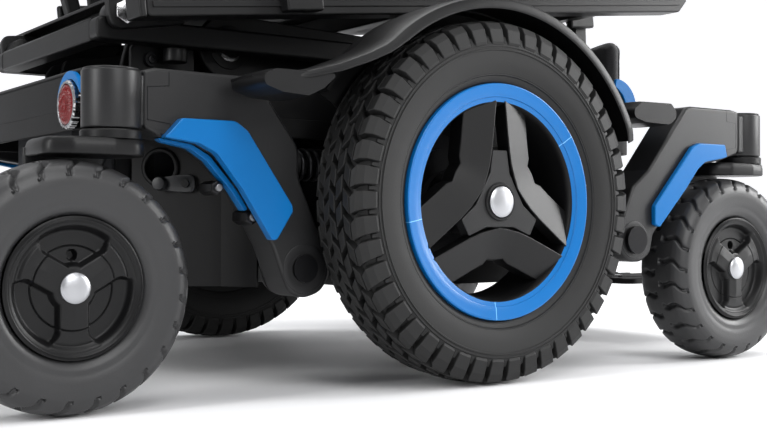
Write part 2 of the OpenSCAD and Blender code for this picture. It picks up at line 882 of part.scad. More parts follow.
power_button();
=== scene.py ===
import bpy
import json
import math
import numpy as np
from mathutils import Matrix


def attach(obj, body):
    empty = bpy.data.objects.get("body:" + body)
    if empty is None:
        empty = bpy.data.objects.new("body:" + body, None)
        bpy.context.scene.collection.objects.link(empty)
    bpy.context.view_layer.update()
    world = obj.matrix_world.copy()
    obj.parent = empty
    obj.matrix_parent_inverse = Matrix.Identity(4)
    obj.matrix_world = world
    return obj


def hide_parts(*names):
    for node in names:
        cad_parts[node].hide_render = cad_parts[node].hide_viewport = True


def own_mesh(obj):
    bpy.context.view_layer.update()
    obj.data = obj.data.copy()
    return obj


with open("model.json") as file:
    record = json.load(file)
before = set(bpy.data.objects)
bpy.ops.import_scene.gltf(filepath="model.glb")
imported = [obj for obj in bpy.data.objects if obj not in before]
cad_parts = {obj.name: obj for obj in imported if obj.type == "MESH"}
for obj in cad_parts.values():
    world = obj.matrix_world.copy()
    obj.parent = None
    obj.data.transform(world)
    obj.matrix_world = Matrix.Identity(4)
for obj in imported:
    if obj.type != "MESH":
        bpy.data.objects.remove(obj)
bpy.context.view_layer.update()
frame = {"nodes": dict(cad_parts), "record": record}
nodes = frame["nodes"]

# ------------------------------------------------------------------ camera
cam_data = bpy.data.cameras.new("camera")
cam_data.lens = 53.73
cam_data.sensor_width = 36.0
cam_data.clip_start = 0.05
cam_data.clip_end = 60.0
camera = bpy.data.objects.new("camera", cam_data)
bpy.context.scene.collection.objects.link(camera)
camera.location = (-0.73975, -1.15757, 0.15765)
camera.rotation_euler = (math.radians(90.34), 0.0, math.radians(-35.47))
bpy.context.scene.camera = camera

# ------------------------------------------------------- chair's main sizes
AXLE_Z = 0.178
TRACK = 0.287
TYRE_R = 0.178
CASTER_R = 0.105
TRAIL = 0.0415
SWIVELS = {"rear": (-0.366, 0.236), "front": (0.408, 0.283)}
SLOPE = math.radians(6.4)
LEAN = math.radians(10.0)
TILT = np.array([-0.322, 0.0, 0.352])
SIDES = (("left", 1.0), ("right", -1.0))


# ------------------------------------------------------------ shader maths
class Val:
    """A shader socket whose arithmetic adds Math nodes."""

    def __init__(self, tree, sock):
        self.tree, self.sock = tree, sock

    def _op(self, op, *args):
        return self.tree.node("ShaderNodeMath", {"operation": op}, *args)

    def __add__(self, o):
        return self._op("ADD", self, o)

    __radd__ = __add__

    def __mul__(self, o):
        return self._op("MULTIPLY", self, o)

    __rmul__ = __mul__

    def __sub__(self, o):
        return self._op("SUBTRACT", self, o)

    def __rsub__(self, o):
        return self._op("SUBTRACT", o, self)

    def __truediv__(self, o):
        return self._op("DIVIDE", self, o)

    def __pow__(self, o):
        return self._op("POWER", self, o)

    def sin(self):
        return self._op("SINE", self)

    def abs(self):
        return self._op("ABSOLUTE", self)

    def sqrt(self):
        return self._op("SQRT", self)

    def above(self, o):
        return self._op("GREATER_THAN", self, o)

    def below(self, o):
        return self._op("LESS_THAN", self, o)

    def most(self, o):
        return self._op("MAXIMUM", self, o)

    def ease(self, lo, hi):
        """0 below lo, 1 above hi, smooth between."""
        return self.tree.node("ShaderNodeMapRange", {"interpolation_type": "SMOOTHSTEP", "clamp": True},
                              Value=self, **{"From Min": lo, "From Max": hi})


class Finish:
    """One material's node tree."""

    def __init__(self, name):
        self.mat = bpy.data.materials.new(name)
        self.mat.use_nodes = True
        self.nt = self.mat.node_tree
        self.nt.nodes.clear()
        self.out = self.nt.nodes.new("ShaderNodeOutputMaterial")
        self.bsdf = self.nt.nodes.new("ShaderNodeBsdfPrincipled")
        self.nt.links.new(self.bsdf.outputs[0], self.out.inputs[0])
        self._coord = None

    def node(self, kind, settings=None, *args, out=0, **named):
        n = self.nt.nodes.new(kind)
        for k, v in (settings or {}).items():
            if k == "stops":
                ramp = n.color_ramp
                while len(ramp.elements) < len(v):
                    ramp.elements.new(0.5)
                for e, (p, c) in zip(ramp.elements, v):
                    e.position, e.color = p, c
            else:
                setattr(n, k, v)
        for i, a in enumerate(args):
            self._feed(n.inputs[i], a)
        for k, a in named.items():
            self._feed(n.inputs[k.replace("_", " ") if k not in n.inputs else k], a)
        return Val(self, n.outputs[out])

    def _feed(self, sock, a):
        if isinstance(a, Val):
            self.nt.links.new(a.sock, sock)
        elif a is not None:
            sock.default_value = a

    @property
    def place(self):
        if self._coord is None:
            self._coord = self.node("ShaderNodeTexCoord", out=3)
        return self._coord

    def xyz(self, v=None):
        n = self.nt.nodes.new("ShaderNodeSeparateXYZ")
        self.nt.links.new((v or self.place).sock, n.inputs[0])
        return [Val(self, o) for o in n.outputs]

    def noise(self, scale, detail=3.0, rough=0.55, vec=None):
        return self.node("ShaderNodeTexNoise", {}, out=0, Vector=vec or self.place, Scale=scale,
                         Detail=detail, Roughness=rough)

    def mix(self, fac, a, b):
        n = self.nt.nodes.new("ShaderNodeMix")
        n.data_type = "RGBA"
        self._feed(n.inputs[0], fac)
        self._feed(n.inputs[6], a)
        self._feed(n.inputs[7], b)
        return Val(self, n.outputs[2])

    def bump(self, height, distance, strength=1.0, normal=None):
        return self.node("ShaderNodeBump", {}, Height=height, Distance=distance, Strength=strength,
                         Normal=normal)

    def set(self, **named):
        for k, v in named.items():
            self._feed(self.bsdf.inputs[k.replace("_", " ")], v)
        return self.mat


def rgb(r, g, b):
    """sRGB 0..255 to linear."""
    f = [c / 255.0 for c in (r, g, b)]
    return tuple(c / 12.92 if c <= 0.04045 else ((c + 0.055) / 1.055) ** 2.4 for c in f) + (1.0,)


def coated(name, col, rough, grain=900.0, depth=0.00012, coat=0.0, spread=0.12, metal=0.0, wear=0.25,
           gloss=0.35):
    """Painted or moulded surface: fine grain, slow tone drift and slightly uneven gloss."""
    f = Finish(name)
    slow = f.noise(9.0, 4.0)
    fine = f.noise(grain, 2.0)
    scuff = f.noise(42.0, 6.0, 0.7).ease(0.62, 0.8)
    light = tuple(min(1.0, c * (1.0 + spread) + 0.002) for c in col[:3]) + (1.0,)
    dark = tuple(c * (1.0 - spread) for c in col[:3]) + (1.0,)
    return f.set(Base_Color=f.mix(slow, dark, light),
                 Roughness=rough + (slow - 0.5) * 0.1 + scuff * 0.08 * wear
                 + (fine - 0.5) * 0.06, Metallic=metal, Coat_Weight=coat, Coat_Roughness=0.12,
                 Specular_IOR_Level=gloss, Normal=f.bump(fine + scuff * 0.2, depth, 0.6))


def brushed(name, col, rough, axis_scale=(40.0, 900.0, 900.0)):
    """Turned or brushed metal: long fine scratches."""
    f = Finish(name)
    m = f.node("ShaderNodeMapping", {}, Vector=f.place)
    m.sock.node.inputs["Scale"].default_value = axis_scale
    lines = f.noise(1.0, 4.0, 0.6, m)
    blot = f.noise(30.0, 3.0)
    return f.set(Base_Color=f.mix(blot, tuple(c * 0.86 for c in col[:3]) + (1.0,), col), Metallic=1.0,
                 Roughness=rough + (lines - 0.5) * 0.16 + (blot - 0.5) * 0.08,
                 Normal=f.bump(lines, 0.00006, 0.5))


def rubber(name, col, rough, grain=700.0, dust=0.25, gloss=0.3):
    """Tyre rubber: matt, faintly mottled, paler where dust stays."""
    f = Finish(name)
    mott = f.noise(26.0, 5.0, 0.6)
    fine = f.noise(grain, 3.0, 0.6)
    pale = tuple(min(1.0, c * 1.9 + 0.004) for c in col[:3]) + (1.0,)
    return f.set(Base_Color=f.mix(mott.ease(0.45, 0.8) * dust + (fine - 0.5) * 0.2, col, pale),
                 Roughness=rough + (mott - 0.5) * 0.14, Specular_IOR_Level=gloss,
                 Normal=f.bump(fine * 0.7 + mott * 0.3, 0.00018, 0.6))


def weave(name, col, pitch=0.0021):
    """Coarse woven cloth: two crossed sets of threads, with fuzz."""
    f = Finish(name)
    x, y, z = f.xyz()
    k = 2.0 * math.pi / pitch
    u = x + z * 0.9
    warp = (u * k).sin()
    weft = ((y + z * 0.12) * k).sin()
    thread = (warp * weft) * 0.5 + 0.5
    fuzz = f.noise(1500.0, 2.0)
    tone = f.noise(14.0, 3.0)
    light = tuple(min(1.0, c * 2.1 + 0.006) for c in col[:3]) + (1.0,)
    return f.set(Base_Color=f.mix(thread * 0.5 + (fuzz - 0.5) * 0.5 + (tone - 0.5) * 0.5, col, light),
                 Roughness=0.86 + (fuzz - 0.5) * 0.12, Sheen_Weight=0.25, Sheen_Roughness=0.5,
                 Normal=f.bump(thread + fuzz * 0.5, 0.0004, 0.7))


CHARCOAL = coated("charcoal_arm", rgb(22, 22, 23), 0.4, 1300.0, 0.0001, wear=0.3, gloss=0.34)
BLACK_COAT = coated("black_powder_coat", rgb(8, 8, 9), 0.42, 800.0, 0.00016, gloss=0.24)
BLACK_PLASTIC = coated("black_grained_plastic", rgb(8, 8, 9), 0.5, 620.0, 0.0002, gloss=0.2)
SATIN_PLASTIC = coated("black_satin_plastic", rgb(7, 7, 8), 0.42, 1200.0, 0.00008, coat=0.03, gloss=0.24)
BLUE = coated("blue_lacquer", rgb(0, 96, 160), 0.34, 1600.0, 0.00003, coat=0.05, spread=0.04, wear=0.1,
              gloss=0.18)
TREAD = rubber("drive_tyre_rubber", rgb(20, 20, 20), 0.6)
CASTER_RUBBER = rubber("caster_rubber", rgb(36, 36, 37), 0.42, dust=0.12, gloss=0.45)
SILVER = brushed("satin_silver", rgb(176, 177, 180), 0.38)
STEEL = brushed("bright_steel", rgb(190, 190, 192), 0.2, (600.0, 60.0, 600.0))
ZINC = brushed("zinc_spring", rgb(120, 120, 122), 0.38)
CAST = coated("cast_motor_shell", rgb(30, 30, 32), 0.55, 380.0, 0.0003, metal=0.3)
BATTERY = coated("battery_case", rgb(34, 35, 38), 0.55, 500.0)
WHITE_LENS = coated("lamp_shell", rgb(176, 178, 184), 0.18, 1500.0, 0.00002, coat=0.8, spread=0.03)
RED_LENS = coated("red_lens", rgb(105, 2, 5), 0.22, 900.0, 0.0001, coat=0.15, spread=0.2, gloss=0.25)
GREY_LEVER = coated("grey_lever", rgb(38, 39, 41), 0.4, 900.0)
CLOTH = weave("black_seat_cloth", rgb(19, 19, 21))
GREEN = coated("green_button", rgb(20, 150, 70), 0.3, 900.0, coat=0.4)
NUTBLACK = coated("black_bolt", rgb(22, 22, 24), 0.3, 900.0, metal=0.6)

SLOT_FINISH = {"frame_black": BLACK_COAT, "dark_plastic": BLACK_PLASTIC, "battery_case": BATTERY,
               "motor_metal": CAST, "lamp_white": WHITE_LENS, "lamp_red": RED_LENS, "spring_steel": ZINC,
               "bright_steel": STEEL, "lever_grey": GREY_LEVER, "drive_rubber": TREAD,
               "caster_rubber": CASTER_RUBBER, "rim_black": SATIN_PLASTIC, "accent_blue": BLUE,
               "hub_black": SATIN_PLASTIC, "arm_charcoal": CHARCOAL, "upholstery": CLOTH,
               "knob_black": SATIN_PLASTIC, "button_green": GREEN}
NODE_SLOT = {s["node"]: s["material_slot"] for s in frame["record"]["subparts"]}
for name, obj in nodes.items():
    obj.data.materials.clear()
    obj.data.materials.append(SLOT_FINISH[NODE_SLOT[name]])
nodes["base_fasteners"].data.materials[0] = NUTBLACK


# ---------------------------------------------------------------- meshes
def mesh_piece(name, verts, faces, body, finish, slot=None, smooth=True, replaces=(), merge=False, bevel=0.0,
               bevel_seg=2, sharp=35.0):
    """Puts point and face arrays into one object that rides on a body."""
    me = bpy.data.meshes.new(name)
    me.from_pydata([tuple(v) for v in np.asarray(verts, float)], [],
                   [tuple(int(i) for i in f) for f in faces])
    me.update()
    ob = bpy.data.objects.new(name, me)
    bpy.context.scene.collection.objects.link(ob)
    me.materials.append(finish)
    import bmesh
    bm = bmesh.new()
    bm.from_mesh(me)
    if merge:
        bmesh.ops.remove_doubles(bm, verts=bm.verts, dist=1e-6)
    bmesh.ops.recalc_face_normals(bm, faces=bm.faces)
    bm.to_mesh(me)
    bm.free()
    me.polygons.foreach_set("use_smooth", [smooth] * len(me.polygons))
    if smooth:
        me.set_sharp_from_angle(angle=math.radians(sharp))
    if bevel:
        b = ob.modifiers.new("edge", "BEVEL")
        b.width, b.segments, b.limit_method, b.angle_limit = bevel, bevel_seg, "ANGLE", math.radians(30)
        b.harden_normals = False
    if body is None:
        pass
    else:
        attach(ob, body)
    if replaces:
        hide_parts(*replaces)
    return ob


def grid_faces(nu, nv, wrap_u=False, wrap_v=False, start=0):
    """Quads of a grid of nu by nv points, closed round either way if asked."""
    iu = np.arange(nu if wrap_u else nu - 1)
    iv = np.arange(nv if wrap_v else nv - 1)
    a, b = np.meshgrid(iu, iv, indexing="ij")
    a2, b2 = (a + 1) % nu, (b + 1) % nv
    q = np.stack([a * nv + b, a2 * nv + b, a2 * nv + b2, a * nv + b2], -1)
    return (q.reshape(-1, 4) + start).tolist()


def join(parts):
    """Joins (points, faces) pairs into one pair."""
    vs, fs, n = [], [], 0
    for v, f in parts:
        vs.append(np.asarray(v, float))
        fs += [[i + n for i in q] for q in f]
        n += len(v)
    return np.concatenate(vs), fs


def about_y(p, centre, side=1.0):
    """Wheel-frame points (radius direction x, z and outward y) moved to a wheel centre; side turns outward
    to right."""
    p = np.asarray(p, float).copy()
    p[:, 1] *= side
    return p + np.asarray(centre)


def lathe(profile, n=96, closed=True):
    """Profile points (radius, outward) spun about the wheel axis, point = (r cos t, y, r sin t)."""
    pr = np.asarray(profile, float)
    t = np.linspace(0.0, 2.0 * math.pi, n, endpoint=False)
    r, y = pr[:, 0], pr[:, 1]
    x = np.outer(np.cos(t), r)
    z = np.outer(np.sin(t), r)
    yy = np.broadcast_to(y, x.shape)
    v = np.stack([x, yy, z], -1).reshape(-1, 3)
    return v, grid_faces(n, len(pr), True, closed)


def extrude_xz(outline, y0, y1):
    """A flat outline in X and Z pushed from y0 to y1, with both ends closed."""
    o = np.asarray(outline, float)
    n = len(o)
    a = np.column_stack([o[:, 0], np.full(n, y0), o[:, 1]])
    b = np.column_stack([o[:, 0], np.full(n, y1), o[:, 1]])
    f = [[i, (i + 1) % n, n + (i + 1) % n, n + i] for i in range(n)]
    f += [list(range(n))[::-1], list(range(n, 2 * n))]
    return np.concatenate([a, b]), f


def round_corners(outline, radius, seg=5):
    """Each corner of an outline becomes an arc that starts and ends at its tangent points."""
    o = np.asarray(outline, float)
    n = len(o)
    rr = radius if hasattr(radius, "__len__") else [radius] * n
    out = []
    for i in range(n):
        p, c, q = o[i - 1], o[i], o[(i + 1) % n]
        a, b = (p - c), (q - c)
        la, lb = np.linalg.norm(a), np.linalg.norm(b)
        a, b = a / la, b / lb
        half = math.acos(max(-0.9999, min(0.9999, float(a @ b)))) / 2
        if rr[i] <= 0 or half > 1.55:
            out.append(c)
            continue
        d = min(rr[i] / math.tan(half), 0.46 * la, 0.46 * lb)
        r = d * math.tan(half)
        m = (a + b)
        m = c + m / np.linalg.norm(m) * (r / math.sin(half))
        s, e = c + a * d - m, c + b * d - m
        a0, a1 = math.atan2(s[1], s[0]), math.atan2(e[1], e[0])
        da = (a1 - a0 + math.pi) % (2 * math.pi) - math.pi
        for k in range(seg + 1):
            t = a0 + da * k / seg
            out.append(m + r * np.array([math.cos(t), math.sin(t)]))
    return np.array(out)


# ------------------------------------------------------------ drive wheels
def drive_tyre(side, s):
    """Carcass: a closed profile spun about the axle, its sidewall lifted by fine rings where r is near a
    rib radius.
    Lugs: one section in (angle, radius, outward) copied round the tyre by adding the copy's angle."""
    c = (0.0, s * TRACK, AXLE_Z)
    half = [(0.1022, 0.0235), (0.1085, 0.0262), (0.1155, 0.0268), (0.1165, 0.0285), (0.121, 0.0310),
            (0.1225, 0.0312),
            (0.1232, 0.0326), (0.1242, 0.0326), (0.1246, 0.0331), (0.1290, 0.0345), (0.1360, 0.0362),
            (0.1462, 0.0370),
            (0.1466, 0.0378), (0.1478, 0.0379), (0.1483, 0.0371), (0.1496, 0.0371), (0.1500, 0.0378),
            (0.1511, 0.0378),
            (0.1516, 0.0369), (0.1535, 0.0364), (0.1570, 0.0340), (0.1640, 0.0300), (0.1690, 0.0230),
            (0.1703, 0.0120), (0.1707, 0.0)]
    prof = half + [(r, -y) for r, y in half[-2::-1]]
    v, f = lathe(prof, 160)
    carcass = mesh_piece("drive_tyre_carcass_" + side, about_y(v, c, s), f, "drive_wheel_" + side, TREAD,
                         "drive_rubber",
                         replaces=("drive_tyre_" + side,), sharp=28.0)
    n = 46
    pitch = 2.0 * math.pi / n
    parts = []
    for m in (1.0, -1.0):
        # shoulder lug: five stations from the sidewall over the corner on to the crown, each with its own
        # width
        st = np.array([[0.1522, 0.0370, 0.62, 0.00], [0.1548, 0.0378, 0.68, 0.00],
                       [0.1672, 0.0356, 0.72, 0.00],
                       [0.1738, 0.0318, 0.76, 0.05], [0.1757, 0.0272, 0.66, 0.20],
                       [0.1759, 0.0262, 0.60, 0.22]])
        base = np.array([[0.150, 0.0350], [0.152, 0.0340], [0.160, 0.0300], [0.1660, 0.0262],
                         [0.1680, 0.0240],
                         [0.1685, 0.0232]])
        mid = (np.arange(n)[:, None] + (0.0 if m > 0 else 0.5)) * pitch + m * st[None, :, 3] * pitch
        lo, hi = mid - 0.5 * st[None, :, 2] * pitch, mid + 0.5 * st[None, :, 2] * pitch
        grow = 0.06 * pitch
        ring = [(lo, st[:, 0], st[:, 1]), (hi, st[:, 0], st[:, 1]), (hi + grow, base[:, 0], base[:, 1]),
                (lo - grow, base[:, 0], base[:, 1])]
        pts = np.stack([np.stack([r * np.cos(a), np.broadcast_to(m * y, a.shape), r * np.sin(a)], -1)
                        for a, r, y in ring], 2)  # copy, station, corner
        k = len(st)
        one = []
        for i in range(k - 1):
            for j in range(4):
                one.append([i * 4 + j, i * 4 + (j + 1) % 4, (i + 1) * 4 + (j + 1) % 4, (i + 1) * 4 + j])
        one += [[0, 1, 2, 3], [(k - 1) * 4 + j for j in range(4)]]
        for q in range(n):
            parts.append((pts[q].reshape(-1, 3), one))
        # small tie bar low in the gap between two shoulder lugs
        a0 = (np.arange(n) + (0.5 if m > 0 else 0.0)) * pitch
        tie = np.array([[-0.10, 0.1530, 0.0368], [0.10, 0.1530, 0.0368], [0.08, 0.1600, 0.0346],
                        [-0.08, 0.1600, 0.0346],
                        [-0.14, 0.1520, 0.0330], [0.14, 0.1520, 0.0330], [0.14, 0.1600, 0.0300],
                        [-0.14, 0.1600, 0.0300]])
        box = [[0, 1, 2, 3], [4, 5, 6, 7], [0, 1, 5, 4], [1, 2, 6, 5], [2, 3, 7, 6], [3, 0, 4, 7]]
        for a in a0:
            t = a + tie[:, 0] * pitch
            parts.append((np.column_stack([tie[:, 1] * np.cos(t), m * tie[:, 2], tie[:, 1] * np.sin(t)]),
                          box))
    # crown blocks: slanted four-sided blocks in three staggered rows
    box = [[0, 1, 2, 3], [4, 5, 6, 7], [0, 1, 5, 4], [1, 2, 6, 5], [2, 3, 7, 6], [3, 0, 4, 7]]
    rows = ((-0.0202, 0.02, 0.34), (-0.0101, 0.46, -0.34), (0.0, 0.0, 0.34), (0.0101, 0.52, -0.34),
            (0.0202, 0.02, 0.34))
    for row, (yc, off, skew) in enumerate(rows):
        yy = np.array([-0.0046, -0.0046, 0.0046, 0.0046])
        tt = np.array([-0.33, 0.33, 0.33, -0.33]) + skew * yy / 0.0092
        rtop = 0.1778 - 0.0008 * abs(row - 2) ** 1.2
        for a in (np.arange(n) + off) * pitch:
            top = np.column_stack([rtop * np.cos(a + tt * pitch), yc + yy, rtop * np.sin(a + tt * pitch)])
            wide = tt * 1.12
            low = np.column_stack([0.169 * np.cos(a + wide * pitch), yc + yy * 1.06,
                                   0.169 * np.sin(a + wide * pitch)])
            parts.append((np.concatenate([top, low]), box))
    v, f = join(parts)
    mesh_piece("drive_tyre_tread_" + side, about_y(v, c, s), f, "drive_wheel_" + side, TREAD, "drive_rubber",
               smooth=False, bevel=0.0006, bevel_seg=1)
    return carcass


def ring_finish():
    """Blue lacquer with three fine seams across the ring, found from the angle about the axle; each seam is a
    sunk groove coloured pale blue as a painted highlight.
    """
    f = Finish("blue_ring_lacquer")
    x, y, z = f.xyz()
    dz = z - AXLE_Z
    line = None
    for deg in (36.0, 190.0, 266.0):
        a = math.radians(deg)
        across = (x * math.sin(a) - dz * math.cos(a)).abs()
        along = (x * math.cos(a) + dz * math.sin(a)).above(0.0)
        one = across.below(0.00035) * along
        line = one if line is None else line.most(one)
    slow = f.noise(12.0, 3.0)
    fine = f.noise(1400.0, 2.0)
    base = f.mix(slow, rgb(0, 92, 158), rgb(0, 100, 168))
    # painted highlight: the seam mask colours each seam a pale blue that stands in for light catching its
    # edge; the bump only sinks a groove
    return f.set(Base_Color=f.mix(line, base, rgb(120, 185, 235)), Roughness=0.3 + (slow - 0.5) * 0.08,
                 Coat_Weight=0.08, Specular_IOR_Level=0.3, Coat_Roughness=0.15,
                 Normal=f.bump(fine * 0.4 - line * 3.0, 0.0001, 0.5))


RING_BLUE = ring_finish()


def blue_ring(side, s):
    """Section of the ring spun about the axle."""
    c = (0.0, s * TRACK, AXLE_Z)
    prof = [(0.0975, 0.0266), (0.1152, 0.0266), (0.1154, 0.0308), (0.1150, 0.0320), (0.1142, 0.0324),
            (0.1132, 0.0322),
            (0.1080, 0.0313), (0.1032, 0.0306), (0.1024, 0.0303), (0.1019, 0.0294), (0.1000, 0.0290),
            (0.0975, 0.0284)]
    v, f = lathe(prof, 192)
    mesh_piece("blue_rim_ring_" + side, about_y(v, c, s), f, "drive_wheel_" + side, RING_BLUE, "accent_blue",
               replaces=("rim_ring_" + side,), sharp=40.0)


def along_profile(points_a, points_b, depth):
    """A bar between an inner and an outer edge line: depth gives (top, bottom) of the outward place at each
    edge. Point (i, k) is corner k of station i, so the bar is a loft of four-cornered sections."""
    a, b = np.asarray(points_a, float), np.asarray(points_b, float)
    (ta, ba), (tb, bb) = depth
    n = len(a)
    ring = [np.column_stack([a[:, 0], np.full(n, ta), a[:, 1]]),
            np.column_stack([b[:, 0], np.full(n, tb), b[:, 1]]),
            np.column_stack([b[:, 0], np.full(n, bb), b[:, 1]]),
            np.column_stack([a[:, 0], np.full(n, ba), a[:, 1]])]
    v = np.stack(ring, 1).reshape(-1, 3)
    f = grid_faces(n, 4, False, True)
    f += [[3, 2, 1, 0], [(n - 1) * 4 + j for j in range(4)]]
    return v, f


def drive_hub(side, s):
    """Three chevron panels, one between each pair of spoke lines, a middle plate with three arms, and a
    round cap. A point at distance q along a spoke line and a off it is q*d + a*n."""
    c = (0.0, s * TRACK, AXLE_Z)
    body = "drive_wheel_" + side
    d = np.array([math.sin(math.radians(60)), math.cos(math.radians(60))])
    nrm = np.array([-0.5, math.sqrt(0.75)])
    inner = [q * d + a * nrm for q, a in ((0.0990, 0.0052), (0.075, 0.0078), (0.052, 0.0106),
                                          (0.036, 0.0135))]
    inner += [np.array([0.0105, 0.0268]), np.array([0.0, 0.0252])]
    outer = [q * d + a * nrm for q, a in ((0.0898, 0.0400), (0.075, 0.0415), (0.058, 0.0432),
                                          (0.044, 0.0452))]
    outer += [np.array([0.0100, 0.0560]), np.array([0.0, 0.0572])]
    mir = lambda pts: [np.array([-p[0], p[1]]) for p in pts[-2::-1]]
    inner, outer = inner + mir(inner), outer + mir(outer)
    panels = []
    for k in range(3):
        t = math.radians(180 + 120 * k)
        rot = np.array([[math.cos(t), math.sin(t)], [-math.sin(t), math.cos(t)]])
        panels.append(along_profile(np.array(inner) @ rot.T, np.array(outer) @ rot.T,
                                    ((0.0298, 0.0120), (0.0205, 0.0020))))
    v, f = join(panels)
    mesh_piece("hub_chevrons_" + side, about_y(v, c, s), f, body, SATIN_PLASTIC, "hub_black",
               replaces=("drive_hub_" + side,), bevel=0.0011, bevel_seg=3, smooth=True, sharp=32.0)
    # middle plate: three arms up the slots, edges following the chevrons with a gap
    arm = []
    for k in range(3):
        for q, a in ((0.028, -0.0125), (0.038, -0.0112), (0.0505, -0.0092), (0.0505, 0.0092),
                     (0.038, 0.0112), (0.028, 0.0125)):
            t = math.radians(90 - 120 * k)
            u, w = np.array([math.cos(t), math.sin(t)]), np.array([-math.sin(t), math.cos(t)])
            arm.append(q * u - a * w)
    pts = round_corners(arm, [0.006, 0, 0.0015, 0.0015, 0, 0.006] * 3, 4)
    v, f = extrude_xz(pts, 0.016, 0.0282)
    mesh_piece("hub_middle_plate_" + side, about_y(v, c, s), f, body, CHARCOAL, "hub_black", bevel=0.0008,
               sharp=32.0)
    # round satin cap in a thin dark groove
    prof = [(0.0, 0.0305), (0.004, 0.0304), (0.010, 0.0299), (0.0135, 0.0292), (0.0150, 0.0282),
            (0.0152, 0.0262),
            (0.0, 0.0262)]
    v, f = lathe(prof[1:-1], 72, closed=False)
    n0 = len(prof) - 2
    v = np.concatenate([v, [[0.0, prof[0][1] + 0.0003, 0.0]]])
    f += [[i * n0, ((i + 1) % 72) * n0, 72 * n0] for i in range(72)]
    mesh_piece("hub_cap_" + side, about_y(v + np.array([0, 0.0028, 0]), c, s), f, body, SILVER, "hub_black")
    prof = [(0.0155, 0.0262), (0.0185, 0.0262), (0.0188, 0.0290), (0.0180, 0.0300), (0.0162, 0.0300),
            (0.0155, 0.0292)]
    v, f = lathe(prof, 72)
    mesh_piece("hub_cap_seat_" + side, about_y(v, c, s), f, body, SATIN_PLASTIC, "hub_black")
    # bearing barrel on the axle and the dark bowl of the wheel behind the panels
    prof = [(0.0125, -0.0400), (0.0300, -0.0400), (0.0310, -0.0380), (0.0320, 0.0080), (0.0330, 0.0180),
            (0.0125, 0.0180)]
    v, f = lathe(prof, 72)
    mesh_piece("hub_barrel_" + side, about_y(v, c, s), f, body, SATIN_PLASTIC, "hub_black", sharp=40.0)
    prof = [(0.0925, -0.0262), (0.1015, -0.0268), (0.1019, -0.0200), (0.1019, 0.0262), (0.1000, 0.0282),
            (0.0975, 0.0282),
            (0.0958, 0.0262), (0.0946, 0.0200), (0.0935, 0.0), (0.0925, -0.0200)]
    v, f = lathe(prof, 144)
    mesh_piece("wheel_bowl_" + side, about_y(v, c, s), f, body, SATIN_PLASTIC, "rim_black",
               replaces=("drive_rim_" + side,), sharp=40.0)


# ---------------------------------------------------------------- casters
def caster_tyre(end, side, s):
    """A grid round the tyre and across its profile; grooves sink the surface where the angle, less a wave
    that grows across the tread, is near a multiple of the groove pitch."""
    sx, sy = SWIVELS[end]
    c = (sx - TRAIL, s * sy, CASTER_R)
    ctrl = np.array([(0.0582, 0.0225), (0.0590, 0.0262), (0.0630, 0.0290), (0.0680, 0.0306), (0.0690, 0.0300),
                     (0.0745, 0.0314), (0.0840, 0.0325), (0.0900, 0.0322), (0.0945, 0.0306), (0.0985, 0.0278),
                     (0.1012, 0.0240), (0.1032, 0.0190), (0.1044, 0.0125), (0.1049, 0.0060), (0.1050, 0.0)])
    seg = np.r_[0, np.cumsum(np.linalg.norm(np.diff(ctrl, axis=0), axis=1))]
    q = np.concatenate([np.linspace(0, seg[7], 14, endpoint=False), np.linspace(seg[7], seg[-1], 24)])
    r = np.interp(q, seg, ctrl[:, 0])
    y = np.interp(q, seg, ctrl[:, 1])
    r = np.concatenate([r, r[-2::-1]])
    across = np.concatenate([q, 2 * seg[-1] - q[-2::-1]])
    y = np.concatenate([y, -y[-2::-1]])
    nt = 760
    t = np.linspace(0, 2 * math.pi, nt, endpoint=False)
    far = np.abs(across - seg[-1])  # distance from the tread's middle
    flip = np.sign(across - seg[-1])
    count = 25
    reach = seg[-1] - seg[7] - 0.002
    wave = 0.10 * far / reach + 0.030 * np.sin(far / reach * 9.0)
    phase = (t[:, None] - wave[None, :] + np.where(flip > 0, 0.5, 0.0)[None, :] * 2 * math.pi / count) * count / (2 * math.pi)
    dist = np.abs(phase - np.round(phase)) * 2 * math.pi / count * 0.1
    width = 0.0018 + 0.0012 * np.clip(1 - far / reach, 0, 1)
    live = (far < reach) & (far > 0.003)
    depth = np.clip(1.35 - dist / width[None, :], 0, 1) * live[None, :]
    depth = depth * (0.0026 + 0.0024 * np.clip(1 - far / reach, 0, 1))[None, :]
    # hooked end: a short run round the tyre at the groove's outer end
    hook = (np.abs(far - reach) < 0.0011)[None, :] & (np.abs(phase - np.round(phase) - 0.10) < 0.10)
    depth = np.where(hook, 0.0020, depth)
    nr = np.gradient(y, across)
    ny = -np.gradient(r, across)
    nl = np.hypot(nr, ny)
    nr, ny = nr / nl, ny / nl
    sign = -1.0 if nr[len(r) // 2] > 0 else 1.0
    rr = r[None, :] + sign * depth * nr[None, :]
    yy = y[None, :] + sign * depth * ny[None, :]
    v = np.stack([rr * np.cos(t)[:, None], yy, rr * np.sin(t)[:, None]], -1).reshape(-1, 3)
    f = grid_faces(nt, len(r), True, True)
    mesh_piece(f"{end}_caster_tyre_skin_{side}", about_y(v, c, s), f, f"{end}_caster_{side}", CASTER_RUBBER,
               "caster_rubber", replaces=(f"{end}_caster_tyre_{side}",), sharp=50.0)


